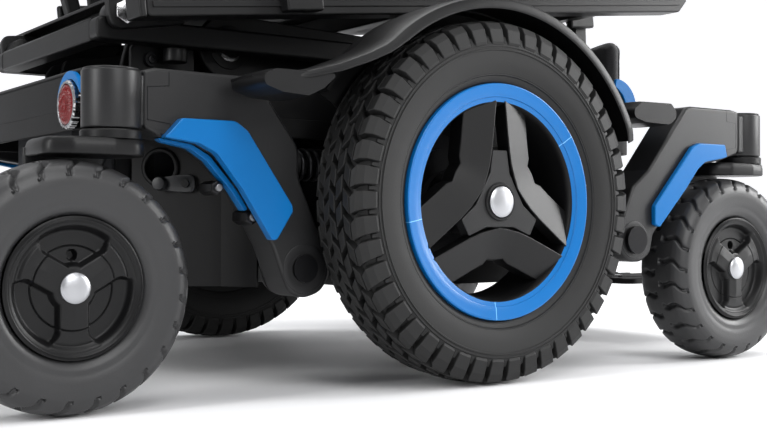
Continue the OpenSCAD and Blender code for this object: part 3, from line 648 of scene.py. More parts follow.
def caster_hub(end, side, s):
    """Polar grid: height falls into a dish, and a plate with three arms stands in it; three pockets lie
    between."""
    sx, sy = SWIVELS[end]
    c = (sx - TRAIL, s * sy, CASTER_R)
    body = f"{end}_caster_{side}"
    nt, nr = 288, 62
    t = np.linspace(0, 2 * math.pi, nt, endpoint=False)
    r = np.linspace(0.0, 0.0583, nr)
    T, R = np.meshgrid(t, r, indexing="ij")
    smooth = lambda x: np.clip(x, 0, 1) ** 2 * (3 - 2 * np.clip(x, 0, 1))
    dish = 0.0285 - 0.0085 * smooth((0.0520 - R) / 0.0060)
    roll = 0.0024 * np.exp(-((R - 0.0553) / 0.0016) ** 2)
    arm = np.zeros_like(R)
    for deg in (30.0, 150.0, 270.0):
        d = T - math.radians(deg)
        u, w = R * np.cos(d), np.abs(R * np.sin(d))
        half = 0.0150
        flare = 0.010 * smooth((u - 0.036) / 0.014)
        arm = np.maximum(arm, smooth((half + flare - w) / 0.0040) * smooth((u + 0.012) / 0.01))
    arm = np.maximum(arm, smooth((0.0215 - R) / 0.005))
    top = 0.0072 * smooth((0.0530 - R) / 0.0090)
    h = dish + roll + arm * top
    crease = np.zeros_like(R)
    for deg in (30.0, 150.0, 270.0):
        d = T - math.radians(deg)
        crease = np.maximum(crease, np.clip(1 - np.abs(R * np.sin(d)) / 0.013, 0, 1) * (np.cos(d) > 0))
    h = h + arm * crease * 0.0016 * smooth((0.045 - R) / 0.02)
    h = h - 0.0011 * np.clip(1 - np.abs(R - 0.0345) / 0.0007, 0, 1)
    h = h - 0.0070 * smooth((0.0048 - np.hypot(R * np.cos(T), R * np.sin(T) - 0.0265)) / 0.0014)
    h = np.minimum(h, 0.0312)
    v = np.stack([R * np.cos(T), h, R * np.sin(T)], -1).reshape(-1, 3)
    f = grid_faces(nt, nr, True, False)
    # back wall and barrel on the axle
    back = [(0.0583, 0.0235), (0.0583, -0.0235), (0.0520, -0.0235), (0.0500, -0.0080), (0.0210, -0.0080),
            (0.0190, -0.0260),
            (0.0082, -0.0262), (0.0082, 0.0150)]
    bt = np.array(back)
    tb = t
    vb = np.stack([np.outer(np.cos(tb), bt[:, 0]), np.broadcast_to(bt[:, 1], (nt, len(bt))),
                   np.outer(np.sin(tb), bt[:, 0])], -1).reshape(-1, 3)
    vv, ff = join([(v, f), (vb, grid_faces(nt, len(bt), True, False))])
    mesh_piece(f"{end}_caster_hub_dish_{side}", about_y(vv, c, s), ff, body, SATIN_PLASTIC, "hub_black",
               replaces=(f"{end}_caster_hub_{side}",), merge=True, sharp=38.0)
    prof = [(0.0030, 0.0335), (0.0075, 0.0331), (0.0110, 0.0322), (0.0125, 0.0310), (0.0127, 0.0285)]
    v, f = lathe(prof, 64, closed=False)
    v = np.concatenate([v, [[0.0, 0.0336, 0.0]]])
    f += [[i * 5, ((i + 1) % 64) * 5, 64 * 5] for i in range(64)]
    mesh_piece(f"{end}_caster_cap_{side}", about_y(v - np.array([0, 0.0012, 0]), c, s), f, body, SILVER,
               "hub_black")


def caster_fork(end, side, s):
    """Crown: a rounded bridge over the tyre. Leg: one loft whose sections follow an arc from the crown down
    to the axle."""
    sx, sy = SWIVELS[end]
    body = f"{end}_fork_{side}"
    # stations: centre x, z, half length along X, then thickness across Y and its inner face
    st = []
    for k in range(15):
        q = k / 14.0
        z = 0.2215 - 0.1290 * q
        x = -0.022 - (TRAIL - 0.022) * q ** 0.8
        half = 0.040 - 0.021 * q ** 0.7
        st.append((x, z, half, -0.0375, -0.0485 + 0.001 * q))
    rows = []
    for x, z, half, y0, y1 in st:
        th = np.linspace(0, 2 * math.pi, 20, endpoint=False)
        cx, cy = np.cos(th), np.sin(th)
        px = np.sign(cx) * np.abs(cx) ** 0.6 * half
        py = np.sign(cy) * np.abs(cy) ** 0.7 * (y0 - y1) / 2
        rows.append(np.column_stack([x + px, (y0 + y1) / 2 + py, np.full(20, z)]))
    v = np.concatenate(rows)
    f = grid_faces(len(st), 20, False, True) + [list(range(20)),
                                                [(len(st) - 1) * 20 + i for i in range(20)][::-1]]
    leg = (v, f)
    out = [(-0.060, -0.049), (-0.020, -0.049), (0.014, -0.036), (0.027, -0.012), (0.027, 0.008),
           (0.016, 0.024),
           (-0.006, 0.026), (-0.040, 0.022), (-0.060, 0.010)]
    o = round_corners(out, 0.014, 5)
    nb = len(o)
    cen = o.mean(0)
    lev = [(0.2135, 1.0), (0.2150, 1.012), (0.2220, 1.012), (0.2262, 0.985), (0.2285, 0.93)]
    rows = [np.column_stack([cen[0] + (o[:, 0] - cen[0]) * k, cen[1] + (o[:, 1] - cen[1]) * k,
                             np.full(nb, z)])
            for z, k in lev]
    v = np.concatenate(rows)
    f = grid_faces(len(lev), nb, False, True) + [list(range(nb)),
                                                 [(len(lev) - 1) * nb + i for i in range(nb)][::-1]]
    crown = (v, f)
    vv, ff = join([leg, crown])
    vv = vv * np.array([1, s, 1]) + np.array([sx, s * sy, 0])
    mesh_piece(f"{end}_fork_body_{side}", vv, ff, body, SATIN_PLASTIC, "rim_black",
               replaces=(f"{end}_fork_{side}",),
               sharp=40.0, bevel=0.0012)
    # swivel collar, and axle end with nut
    prof = [(0.0120, 0.2280), (0.0260, 0.2280), (0.0262, 0.2345), (0.0250, 0.2358), (0.0150, 0.2362),
            (0.0120, 0.2362)]
    t = np.linspace(0, 2 * math.pi, 48, endpoint=False)
    pr = np.array(prof)
    v = np.stack([np.outer(np.cos(t), pr[:, 0]), np.outer(np.sin(t), pr[:, 0]),
                  np.broadcast_to(pr[:, 1], (48, 6))], -1)
    mesh_piece(f"{end}_fork_collar_{side}", v.reshape(-1, 3) + np.array([sx, s * sy, 0]),
               grid_faces(48, 6, True, True),
               body, BLACK_COAT, "rim_black", sharp=35.0)
    prof = [(0.0001, -0.0560), (0.0085, -0.0560), (0.0100, -0.0550), (0.0105, -0.0480), (0.0078, -0.0475),
            (0.0078, 0.0220), (0.0001, 0.0230)]
    v, f = lathe(prof, 40, closed=False)
    mesh_piece(f"{end}_fork_axle_{side}", about_y(v, (sx - TRAIL, s * sy, CASTER_R), s), f, body, STEEL,
               "rim_black",
               merge=True, sharp=35.0)


# ------------------------------------------------------------ caster arms
def solid_outline(name, outline, radius, y0, y1, body, finish, slot, bevel=0.003, replaces=(), seg=6,
                  bevel_seg=3):
    v, f = extrude_xz(round_corners(outline, radius, seg), min(y0, y1), max(y0, y1))
    return mesh_piece(name, v, f, body, finish, slot, replaces=replaces, bevel=bevel, bevel_seg=bevel_seg,
                      sharp=32.0)


def upright_can(name, x, y, z0, z1, r, body, finish, slot, edge=0.002, n=64, **more):
    """A round can about a vertical line, its rims rounded by an arc of the edge size."""
    a = np.linspace(0, math.pi / 2, 5)
    prof = [(0.0, z0)] + [(r - edge + edge * math.sin(q), z0 + edge - edge * math.cos(q)) for q in a]
    prof += [(r - edge + edge * math.cos(q), z1 - edge + edge * math.sin(q)) for q in a] + [(0.0, z1)]
    pr = np.array(prof)
    t = np.linspace(0, 2 * math.pi, n, endpoint=False)
    v = np.stack([x + np.outer(np.cos(t), pr[:, 0]), y + np.outer(np.sin(t), pr[:, 0]),
                  np.broadcast_to(pr[:, 1], (n, len(pr)))], -1).reshape(-1, 3)
    return mesh_piece(name, v, grid_faces(n, len(pr), True, False), body, finish, slot, merge=True,
                      sharp=40.0, **more)


def cross_can(name, x, z, y0, y1, r, body, finish, slot, edge=0.001, dish=0.0, n=48, hexed=False, **more):
    """A can about a line along Y from y0 to y1; its y1 end may be dished, and hexed gives six flats."""
    a = np.linspace(0, math.pi / 2, 4)
    d = 1.0 if y1 > y0 else -1.0
    L = abs(y1 - y0)
    prof = [(0.0, 0.0)] + [(r - edge + edge * math.sin(q), edge - edge * math.cos(q)) for q in a]
    prof += [(r - edge + edge * math.cos(q), L - edge + edge * math.sin(q)) for q in a]
    if dish:
        prof += [(r * 0.62, L - dish * 0.3), (r * 0.35, L - dish * 0.8), (0.0, L - dish)]
    else:
        prof += [(0.0, L)]
    pr = np.array(prof)
    t = np.linspace(0, 2 * math.pi, n, endpoint=False)
    flat = 1.0 / np.cos((t + math.pi / 6) % (math.pi / 3) - math.pi / 6) if hexed else np.ones(n)
    k = flat / flat.max()
    v = np.stack([x + np.outer(np.cos(t) * k, pr[:, 0]), np.broadcast_to(y0 + d * pr[:, 1], (n, len(pr))),
                  z + np.outer(np.sin(t) * k, pr[:, 0])], -1).reshape(-1, 3)
    return mesh_piece(name, v, grid_faces(n, len(pr), True, False), body, finish, slot, merge=True,
                      sharp=40.0, **more)


MM = 0.001
REAR_BEAM = [(-341, 288), (-341, 239), (-326, 232), (-293, 227), (-275, 218), (-246, 190), (-214, 136),
             (-203, 107),
             (-196, 92), (-180, 87), (-162, 92), (-152, 106), (-152, 122), (-186, 200), (-186, 228),
             (-232, 290), (-330, 291)]
REAR_BEAM_R = [3, 8, 8, 10, 10, 12, 8, 20, 20, 24, 24, 20, 10, 30, 26, 16, 3]
FRONT_BEAM = [(384, 288), (384, 239), (352, 230), (317, 224), (305, 216), (284, 193), (236, 145), (231, 124),
              (216, 115),
              (196, 115), (181, 130), (181, 150), (203, 197), (228, 216), (290, 288), (300, 290), (372, 290)]
FRONT_BEAM_R = [3, 8, 8, 10, 10, 12, 10, 14, 18, 18, 18, 14, 18, 14, 12, 3, 3]


def arm_pieces(end, side, s):
    """Caster arm beam, swivel housing, joint line, pivot boss, blue trim and nuts of one arm."""
    sx, sy = SWIVELS[end]
    body = f"{end}_arm_{side}"
    if end == "rear":
        beam, rad, y0, y1 = REAR_BEAM, REAR_BEAM_R, 0.2052, 0.2448
        px, pz = -0.180, AXLE_Z - 0.063
        step = [(-340, 286), (-340, 238), (-316, 236), (-316, 243), (-337, 246), (-337, 274), (-317, 276),
                (-317, 288)]
        trim = [(-326, 231), (-322, 234), (-309, 248), (-257, 248), (-245, 240), (-199, 174), (-198, 168),
                (-215, 142),
                (-220, 142), (-251, 189), (-276, 219), (-293, 227)]
        tr = [1, 2, 4, 10, 10, 4, 4, 4, 3, 12, 14, 8]
        ty0, ty1 = 0.2445, 0.2548
        lip = [(-326, 231.5), (-293, 227), (-275, 217), (-249, 188), (-237, 170), (-241, 168), (-254, 186),
               (-279, 213), (-295, 223), (-322, 228)]
    else:
        beam, rad, y0, y1 = FRONT_BEAM, FRONT_BEAM_R, 0.2622, 0.3018
        px, pz = 0.205, AXLE_Z - 0.039
        step = [(383, 286), (383, 238), (362, 235), (362, 243), (379, 246), (379, 274), (362, 276),
                (362, 288)]
        trim = [(307, 248), (352, 248), (356, 234), (348, 232), (317, 227), (305, 219), (284, 196),
                (240, 153), (232, 156),
                (232, 176), (240, 185), (296, 244)]
        tr = [8, 2, 2, 2, 12, 12, 10, 3, 3, 3, 4, 8]
        ty0, ty1 = 0.3015, 0.3078
        lip = None
    b = np.array(beam, float) * MM
    solid_outline(f"{end}_arm_beam_{side}", b, [q * MM for q in rad], s * y0, s * y1, body, CHARCOAL,
                  "arm_charcoal",
                  bevel=0.0028, replaces=(f"{end}_arm_{side}",))
    # swivel housing with its cap line, and the clamp band that joins it to the beam
    upright_can(f"{end}_swivel_housing_{side}", sx, s * sy, 0.2367, 0.2862, 0.0250, body, CHARCOAL,
                "arm_charcoal", 0.0018)
    upright_can(f"{end}_swivel_cap_{side}", sx, s * sy, 0.2858, 0.2880, 0.0236, body, CHARCOAL,
                "arm_charcoal", 0.0009)
    web = np.array([(sx / MM, 284), (sx / MM, 240), (step[0][0], 240), (step[0][0], 284)]) * MM
    solid_outline(f"{end}_swivel_web_{side}", web, 0.0, s * (sy - 0.020 if end == "rear" else sy - 0.017),
                  s * (y1 + 0.0005), body, CHARCOAL, "arm_charcoal", bevel=0.002)
    # the C-shaped joint line between housing and beam
    st = np.array(step, float) * MM
    g = 0.0008
    for k, (a, e) in enumerate(zip(st[2:-1], st[3:])):
        t = (e - a) / np.linalg.norm(e - a)
        w = np.array([-t[1], t[0]]) * g / 2
        quad = [a - t * g / 2 + w, e + t * g / 2 + w, e + t * g / 2 - w, a - t * g / 2 - w]
        v, f = extrude_xz(quad, min(s * y1, s * (y1 + 0.0001)), max(s * y1, s * (y1 + 0.0001)))
        mesh_piece(f"{end}_arm_line_{side}_{k}", v, f, body, NUTBLACK, "arm_charcoal", smooth=False)
    # pivot boss with a shallow dish
    boss_r = 0.0262 if end == "rear" else 0.0235
    cross_can(f"{end}_pivot_boss_{side}", px, pz, s * (y1 - 0.004), s * (y1 + 0.0006), boss_r - 0.003, body,
              CHARCOAL,
              "arm_charcoal", 0.0006, dish=0.0022)
    cross_can(f"{end}_pivot_bush_{side}", px, pz, s * (y0 + 0.001), s * (y0 - 0.0001), boss_r, body,
              CHARCOAL, "arm_charcoal", 0.0003)
    # trim
    t = np.array(trim, float) * MM
    solid_outline(f"{end}_trim_cover_{side}", t, [q * MM for q in tr], s * ty0, s * ty1, body, BLUE,
                  "accent_blue",
                  bevel=0.0012, replaces=(f"{end}_trim_{side}",), bevel_seg=3)
    if lip:
        v = np.array(lip, float) * MM
        solid_outline(f"{end}_trim_lip_{side}", v, 0.003, s * 0.2300, s * 0.2400, body, BLUE, "accent_blue",
                      bevel=0.0008)
        for k, (bx, bz, br) in enumerate(((-267, 189, 6.5), (-232, 163, 7.5))):
            cross_can(f"{end}_arm_nut_{side}_{k}", bx * MM, bz * MM, s * 0.212, s * 0.2385, br * MM, body,
                      NUTBLACK, "arm_charcoal",
                      0.001, hexed=True)
            cross_can(f"{end}_arm_nut_tip_{side}_{k}", bx * MM, bz * MM, s * 0.236, s * 0.2425,
                      br * 0.55 * MM, body, ZINC,
                      "arm_charcoal", 0.001)


for side, s in SIDES:
    drive_tyre(side, s)
    blue_ring(side, s)
    drive_hub(side, s)
    for end in ("rear", "front"):
        caster_tyre(end, side, s)
        caster_hub(end, side, s)
        caster_fork(end, side, s)
        arm_pieces(end, side, s)


# ---------------------------------------------------------------- fenders
def plate_blob(name, outline, y0, y1, body, finish, slot, puff=0.3, radius=0.006, **more):
    """A flat outline in X and Z between two places across, both faces drawn in by a share of its thickness
    at the rim."""
    o = round_corners(np.asarray(outline, float), radius, 6)
    c = o.mean(0)
    k = [(0.0, 0.86), (0.10, 0.95), (0.28, 1.0), (0.72, 1.0), (0.90, 0.95), (1.0, 0.86)]
    v = np.concatenate([np.column_stack([c[0] + (o[:, 0] - c[0]) * (1 - (1 - q) * 0.25),
                                         np.full(len(o), y0 + (y1 - y0) * a),
                                         c[1] + (o[:, 1] - c[1]) * (1 - (1 - q) * puff / 0.3)]) for a,
                                         q in k])
    n = len(o)
    f = grid_faces(len(k), n, False, True) + [list(range(n)), [(len(k) - 1) * n + i for i in range(n)][::-1]]
    return mesh_piece(name, v, f, body, finish, slot, sharp=40.0, **more)


def fender(side, s):
    """Section points (radius offset, across) carried along an arc over the tyre, ending in a lip at the
    near edge; at the rear the arc eases out into a tongue."""
    R = TYRE_R + 0.0165
    lead = [(-0.266, 0.2795), (-0.260, 0.2818), (-0.245, 0.2835), (-0.220, 0.2848), (-0.206, 0.2858)]
    a = np.radians(np.linspace(140, 20, 64))
    arc = np.column_stack([R * np.cos(a), AXLE_Z + R * np.sin(a)])
    p = np.concatenate([np.array(lead), arc[2:]])
    for _ in range(2):
        q = p.copy()
        q[1:-1] = 0.25 * p[:-2] + 0.5 * p[1:-1] + 0.25 * p[2:]
        p = q
    t = np.gradient(p, axis=0)
    t /= np.linalg.norm(t, axis=1)[:, None]
    n = np.column_stack([-t[:, 1], t[:, 0]])
    u = np.linspace(0, 1, len(p))
    out = 0.3245 - 0.020 * np.clip((0.06 - u) / 0.06, 0, 1) ** 2 - 0.004 * np.clip((u - 0.95) / 0.05, 0,
                                                                                   1) ** 2
    inn = np.full(len(p), 0.2620)
    drop = 0.35 + 0.65 * np.clip((u - 0.02) / 0.12, 0, 1)
    sec = [(0.0, 0.0040), (0.5, 0.0046), (0.90, 0.0040), (0.975, 0.0024), (1.0, -0.0008), (1.0, -0.0062),
           (0.985, -0.0078),
           (0.968, -0.0060), (0.955, -0.0010), (0.92, 0.0004), (0.5, 0.0010), (0.0, 0.0006)]
    rows = []
    for k, h in sec:
        y = inn + (out - inn) * k
        hh = h * drop if h < 0 else np.full(len(p), h)
        rows.append(np.column_stack([p[:, 0] + n[:, 0] * hh, s * y, p[:, 1] + n[:, 1] * hh]))
    v = np.stack(rows, 1).reshape(-1, 3)
    k = len(sec)
    f = grid_faces(len(p), k, False, True) + [list(range(k)), [(len(p) - 1) * k + j for j in range(k)][::-1]]
    mesh_piece("fender_shell_" + side, v, f, "base", SATIN_PLASTIC, "dark_plastic", sharp=28.0, bevel=0.0006)
    plate_blob("fender_rear_tongue_" + side, [(-0.267, 0.2835), (-0.267, 0.2735), (-0.248, 0.2675),
                                              (-0.222, 0.2660),
               (-0.206, 0.2740), (-0.192, 0.2870), (-0.200, 0.2890), (-0.255, 0.2885)], s * 0.2625,
               s * 0.3215, "base",
               SATIN_PLASTIC, "dark_plastic", 0.16)
    plate_blob("fender_front_tongue_" + side, [(0.186, 0.2790), (0.188, 0.2700), (0.205, 0.2655),
                                               (0.244, 0.2645), (0.2555, 0.2720),
               (0.2560, 0.2810), (0.2475, 0.2895), (0.200, 0.2890)], s * 0.2625, s * 0.3180, "base",
               SATIN_PLASTIC,
               "dark_plastic", 0.16)
    # inner skirt and its bracket to the base
    a = np.radians(np.linspace(148, 27, 60))
    ring = np.concatenate([np.column_stack([0.196 * np.cos(a), AXLE_Z + 0.196 * np.sin(a)]),
                           np.column_stack([0.154 * np.cos(a[::-1]), AXLE_Z + 0.154 * np.sin(a[::-1])])])
    v, f = extrude_xz(ring, min(s * 0.242, s * 0.2452), max(s * 0.242, s * 0.2452))
    mesh_piece("fender_skirt_" + side, v, f, "base", BLACK_PLASTIC, "dark_plastic", sharp=32.0)
    a = np.radians(np.linspace(148, 27, 60))
    r0, r1 = 0.1932, 0.1966
    v = np.stack([np.stack([np.column_stack([r * np.cos(a), np.full(60, s * y), AXLE_Z + r * np.sin(a)])
                            for r, y in ((r0, 0.243), (r0, 0.263), (r1, 0.263), (r1, 0.243))], 1)],
                            0).reshape(-1, 3)
    mesh_piece("fender_inner_arch_" + side, v, grid_faces(60, 4, False, True) + [[0, 1, 2, 3],
                                                                                 [239, 238, 237, 236]],
                                                                                 "base",
               BLACK_PLASTIC, "dark_plastic", sharp=32.0)
    v, f = extrude_xz(np.array([(-0.07, 0.262), (0.07, 0.262), (0.07, 0.330), (-0.07, 0.330)]),
                      min(s * 0.242, s * 0.245), max(s * 0.242, s * 0.245))
    mesh_piece("fender_tab_" + side, v, f, "base", BLACK_PLASTIC, "dark_plastic", smooth=False)
    v, f = extrude_xz(np.array([(-0.07, 0.262), (0.07, 0.262), (0.07, 0.270), (-0.07, 0.270)]),
                      min(s * 0.200, s * 0.243), max(s * 0.200, s * 0.243))
    mesh_piece("fender_bracket_" + side, v, f, "base", BLACK_PLASTIC, "dark_plastic", smooth=False)


for side, s in SIDES:
    fender(side, s)
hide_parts("fenders")


# ---------------------------------------------------------- general solids
def block(name, lo, hi, edge, body, finish, slot, seg=3, place=None, **more):
    """A box between two corners with rounded edges; place carries its points elsewhere."""
    lo, hi = np.array(lo, float), np.array(hi, float)
    k = np.array([[0, 0, 0], [1, 0, 0], [1, 1, 0], [0, 1, 0], [0, 0, 1], [1, 0, 1], [1, 1, 1], [0, 1, 1]],
                 float)
    v = lo + k * (hi - lo)
    f = [[0, 3, 2, 1], [4, 5, 6, 7], [0, 1, 5, 4], [1, 2, 6, 5], [2, 3, 7, 6], [3, 0, 4, 7]]
    return mesh_piece(name, place(v) if place else v, f, body, finish, slot, bevel=edge, bevel_seg=seg,
                      sharp=32.0, **more)


def tube(name, path, r, body, finish, slot, n=14, closed=False, squash=1.0, **more):
    """A round section carried along a path; each ring lies across the path's own direction."""
    p = np.asarray(path, float)
    t = np.gradient(p, axis=0) if not closed else np.roll(p, -1, 0) - np.roll(p, 1, 0)
    t /= np.linalg.norm(t, axis=1)[:, None]
    up = np.array([0.0, 1.0, 0.0]) if abs(t[:, 1]).max() < 0.9 else np.array([0.0, 0.0, 1.0])
    if abs(t @ up).max() > 0.97:
        up = np.array([0.57, 0.31, 0.76])
    a = np.cross(t, up)
    a /= np.linalg.norm(a, axis=1)[:, None]
    b = np.cross(t, a)
    q = np.linspace(0, 2 * math.pi, n, endpoint=False)
    v = (p[:, None] + r * (np.cos(q)[None, :, None] * a[:, None] + squash * np.sin(q)[None, :, None] * b[:, None])).reshape(-1, 3)
    f = grid_faces(len(p), n, closed, True)
    if not closed:
        f += [list(range(n))[::-1], [(len(p) - 1) * n + i for i in range(n)]]
    return mesh_piece(name, v, f, body, finish, slot, sharp=50.0, **more)


def seat_at(p):
    """Points (along the rails, across, above them) turned by the rails' slope and moved to the tilt axis."""
    p = np.asarray(p, float)
    c, q = math.cos(SLOPE), math.sin(SLOPE)
    return np.column_stack([TILT[0] + p[:, 0] * c - p[:, 2] * q, p[:, 1],
                            TILT[2] + p[:, 0] * q + p[:, 2] * c])


def back_at(p):
    """Points (forward of the back, across, up along it) leant by the back's own lean and set on the seat."""
    p = np.asarray(p, float)
    c, q = math.cos(LEAN), math.sin(LEAN)
    return seat_at(np.column_stack([0.105 + p[:, 0] * c - p[:, 2] * q, p[:, 1],
                                    0.045 + p[:, 0] * q + p[:, 2] * c]))


def bolt(name, x, y0, z, out, r, body, slot, finish=STEEL, washer=True):
    """A socket screw that stands off a face: washer, round head with a hexagonal recess, rim rounded."""
    parts = []
    d = 1.0 if out > 0 else -1.0
    t = np.linspace(0, 2 * math.pi, 48, endpoint=False)
    hx = 1.0 / np.cos((t + math.pi / 6) % (math.pi / 3) - math.pi / 6)
    ring = lambda rad, y, hexed=0.0: np.column_stack([x + rad * (1 + hexed * (hx / hx.max() - 1)) * np.cos(t), np.full(48, y0 + d * y),
                                                      z + rad * (1 + hexed * (hx / hx.max() - 1)) * np.sin(t)])
    h = abs(out)
    rows = []
    if washer:
        rows += [ring(r * 0.5, 0.0), ring(r * 1.62, 0.0), ring(r * 1.66, h * 0.06), ring(r * 1.62, h * 0.16),
                 ring(r * 1.02, h * 0.18)]
    else:
        rows += [ring(r * 0.5, 0.0), ring(r * 1.0, 0.0)]
    rows += [ring(r, h * 0.2), ring(r, h * 0.9), ring(r * 0.94, h * 0.97), ring(r * 0.82, h),
             ring(r * 0.56, h, 1.0),
             ring(r * 0.52, h * 0.98, 1.0), ring(r * 0.50, h * 0.5, 1.0), ring(r * 0.02, h * 0.45)]
    v = np.concatenate(rows)
    k = len(rows)
    idx = np.arange(k * 48).reshape(k, 48)
    f = [[int(idx[i, j]), int(idx[i, (j + 1) % 48]), int(idx[i + 1, (j + 1) % 48]), int(idx[i + 1, j])]
         for i in range(k - 1) for j in range(48)]
    f += [idx[0, ::-1].tolist(), idx[-1].tolist()]
    return mesh_piece(name, v, f, body, finish, slot, sharp=30.0)


# ----------------------------------------------------------------- springs
def springs(side, s):
    """Wire on a helix about a fore-and-aft line: (x, r cos t, r sin t), with end cups and a damper rod
    inside."""
    for k, (x0, x1) in enumerate(((-0.184, -0.112), (0.152, 0.224))):
        t = np.linspace(0, 2 * math.pi * 7.0, 7 * 26)
        u = np.linspace(0.0, 1.0, len(t))
        x = x0 + 0.005 + (x1 - x0 - 0.010) * u
        path = np.column_stack([x, s * 0.220 + 0.0135 * np.cos(t), 0.213 + 0.0135 * np.sin(t)])
        more = {"replaces": ("suspension_springs",)} if (k == 0 and s > 0) else {}
        parts = [tube(f"spring_coil_{side}_{k}", path, 0.0026, "base", NUTBLACK, "spring_steel", n=9, **more)]
        for m, (a, b, r) in enumerate(((x0, x0 + 0.006, 0.0168), (x1 - 0.006, x1, 0.0168),
                                       (x0 + 0.004, x1 - 0.004, 0.0072),
                                       (x0 + 0.004, x0 + 0.040, 0.0095))):
            prof = np.array([(0.0, a), (r * 0.92, a), (r, a + 0.001), (r, b - 0.001), (r * 0.92, b),
                             (0.0, b)])
            q = np.linspace(0, 2 * math.pi, 32, endpoint=False)
            v = np.stack([np.broadcast_to(prof[:, 1], (32, 6)), s * 0.220 + np.outer(np.cos(q), prof[:, 0]),
                          0.213 + np.outer(np.sin(q), prof[:, 0])], -1).reshape(-1, 3)
            parts.append(mesh_piece(f"spring_seat_{side}_{k}_{m}", v, grid_faces(32, 6, True, False), "base",
                                    (SATIN_PLASTIC, SATIN_PLASTIC, STEEL, BLACK_COAT)[m], "spring_steel",
                                    merge=True, sharp=35.0))
        if k == 0:  # the rear arm presses its spring towards the spring's front cup; here the rear spring's pieces only get meshes of their own
            for ob in parts:
                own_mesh(ob)


# ------------------------------------------------- release lever and hole rim on the side wall
def wall_frame(side, s, start=(-0.2535, 0.1255), heading=47.6):
    """Carries (along the wall, out of it, up) to the chair for the slanted side wall."""
    a = math.radians(heading)

    def go(p):
        p = np.asarray(p, float)
        return np.column_stack([start[0] + p[:, 0] * math.cos(a) - p[:, 1] * math.sin(a),
                                s * (start[1] + p[:, 0] * math.sin(a) + p[:, 1] * math.cos(a)), p[:, 2]])
    return go


def release(side, s):
    """Rim of the reach-in hole, and the lever: an outline scaled at four depths with a turned knob."""
    go = wall_frame(side, s)
    rim = np.array([(0.0150, 0.0), (0.0150, 0.0042), (0.0158, 0.0052), (0.0178, 0.0052), (0.0192, 0.0042),
                    (0.0196, 0.0016)])
    t = np.linspace(0, 2 * math.pi, 64, endpoint=False)
    v = np.stack([-0.016 + np.outer(np.cos(t), rim[:, 0]), np.broadcast_to(rim[:, 1], (64, 6)),
                  0.212 + np.outer(np.sin(t), rim[:, 0])], -1).reshape(-1, 3)
    mesh_piece("lever_hole_rim_" + side, go(v), grid_faces(64, 6, True, True), "base", BLACK_PLASTIC,
               "dark_plastic", sharp=35.0)
    o = round_corners(np.array([(0.021, 0.187), (0.021, 0.205), (0.004, 0.2045), (-0.012, 0.2025),
                                (-0.021, 0.2025), (-0.021, 0.1895),
                                (-0.012, 0.1895), (0.004, 0.1875)]), 0.006, 6)
    n = len(o)
    lev = [(0.0024, 0.94), (0.0032, 1.0), (0.0062, 1.0), (0.0070, 0.94)]
    c = o.mean(0)
    v = np.concatenate([np.column_stack([c[0] + (o[:, 0] - c[0]) * k, np.full(n, y),
                                         c[1] + (o[:, 1] - c[1]) * k]) for y, k in lev])
    f = grid_faces(4, n, False, True) + [list(range(n)), [3 * n + i for i in range(n)][::-1]]
    kn = np.array([(0.0, 0.0065), (0.0068, 0.0066), (0.0070, 0.0110), (0.0060, 0.0133), (0.0035, 0.0138),
                   (0.0, 0.0139)])
    w = np.stack([-0.014 + np.outer(np.cos(t), kn[:, 0]), np.broadcast_to(kn[:, 1], (64, 6)),
                  0.196 + np.outer(np.sin(t), kn[:, 0])], -1).reshape(-1, 3)
    v, f = join([(v, f), (w, grid_faces(64, 6, True, False))])
    mesh_piece("release_lever_arm_" + side, go(v), f, "release_lever_" + side, GREY_LEVER, "lever_grey",
               merge=True,
               replaces=("release_lever_" + side,), sharp=35.0)


# -------------------------------------------------------------- base cover
def ring_wall(outline, z0, z1, inward):
    """A wall that follows an outline: outer and inner edge at both heights."""
    o, i = np.asarray(outline, float), np.asarray(inward, float)
    n = len(o)
    lev = [(o, z0), (o, z1), (i, z1), (i, z0)]
    v = np.stack([np.column_stack([q[:, 0], q[:, 1], np.full(n, z)]) for q, z in lev], 1).reshape(-1, 3)
    return v, grid_faces(n, 4, True, True)


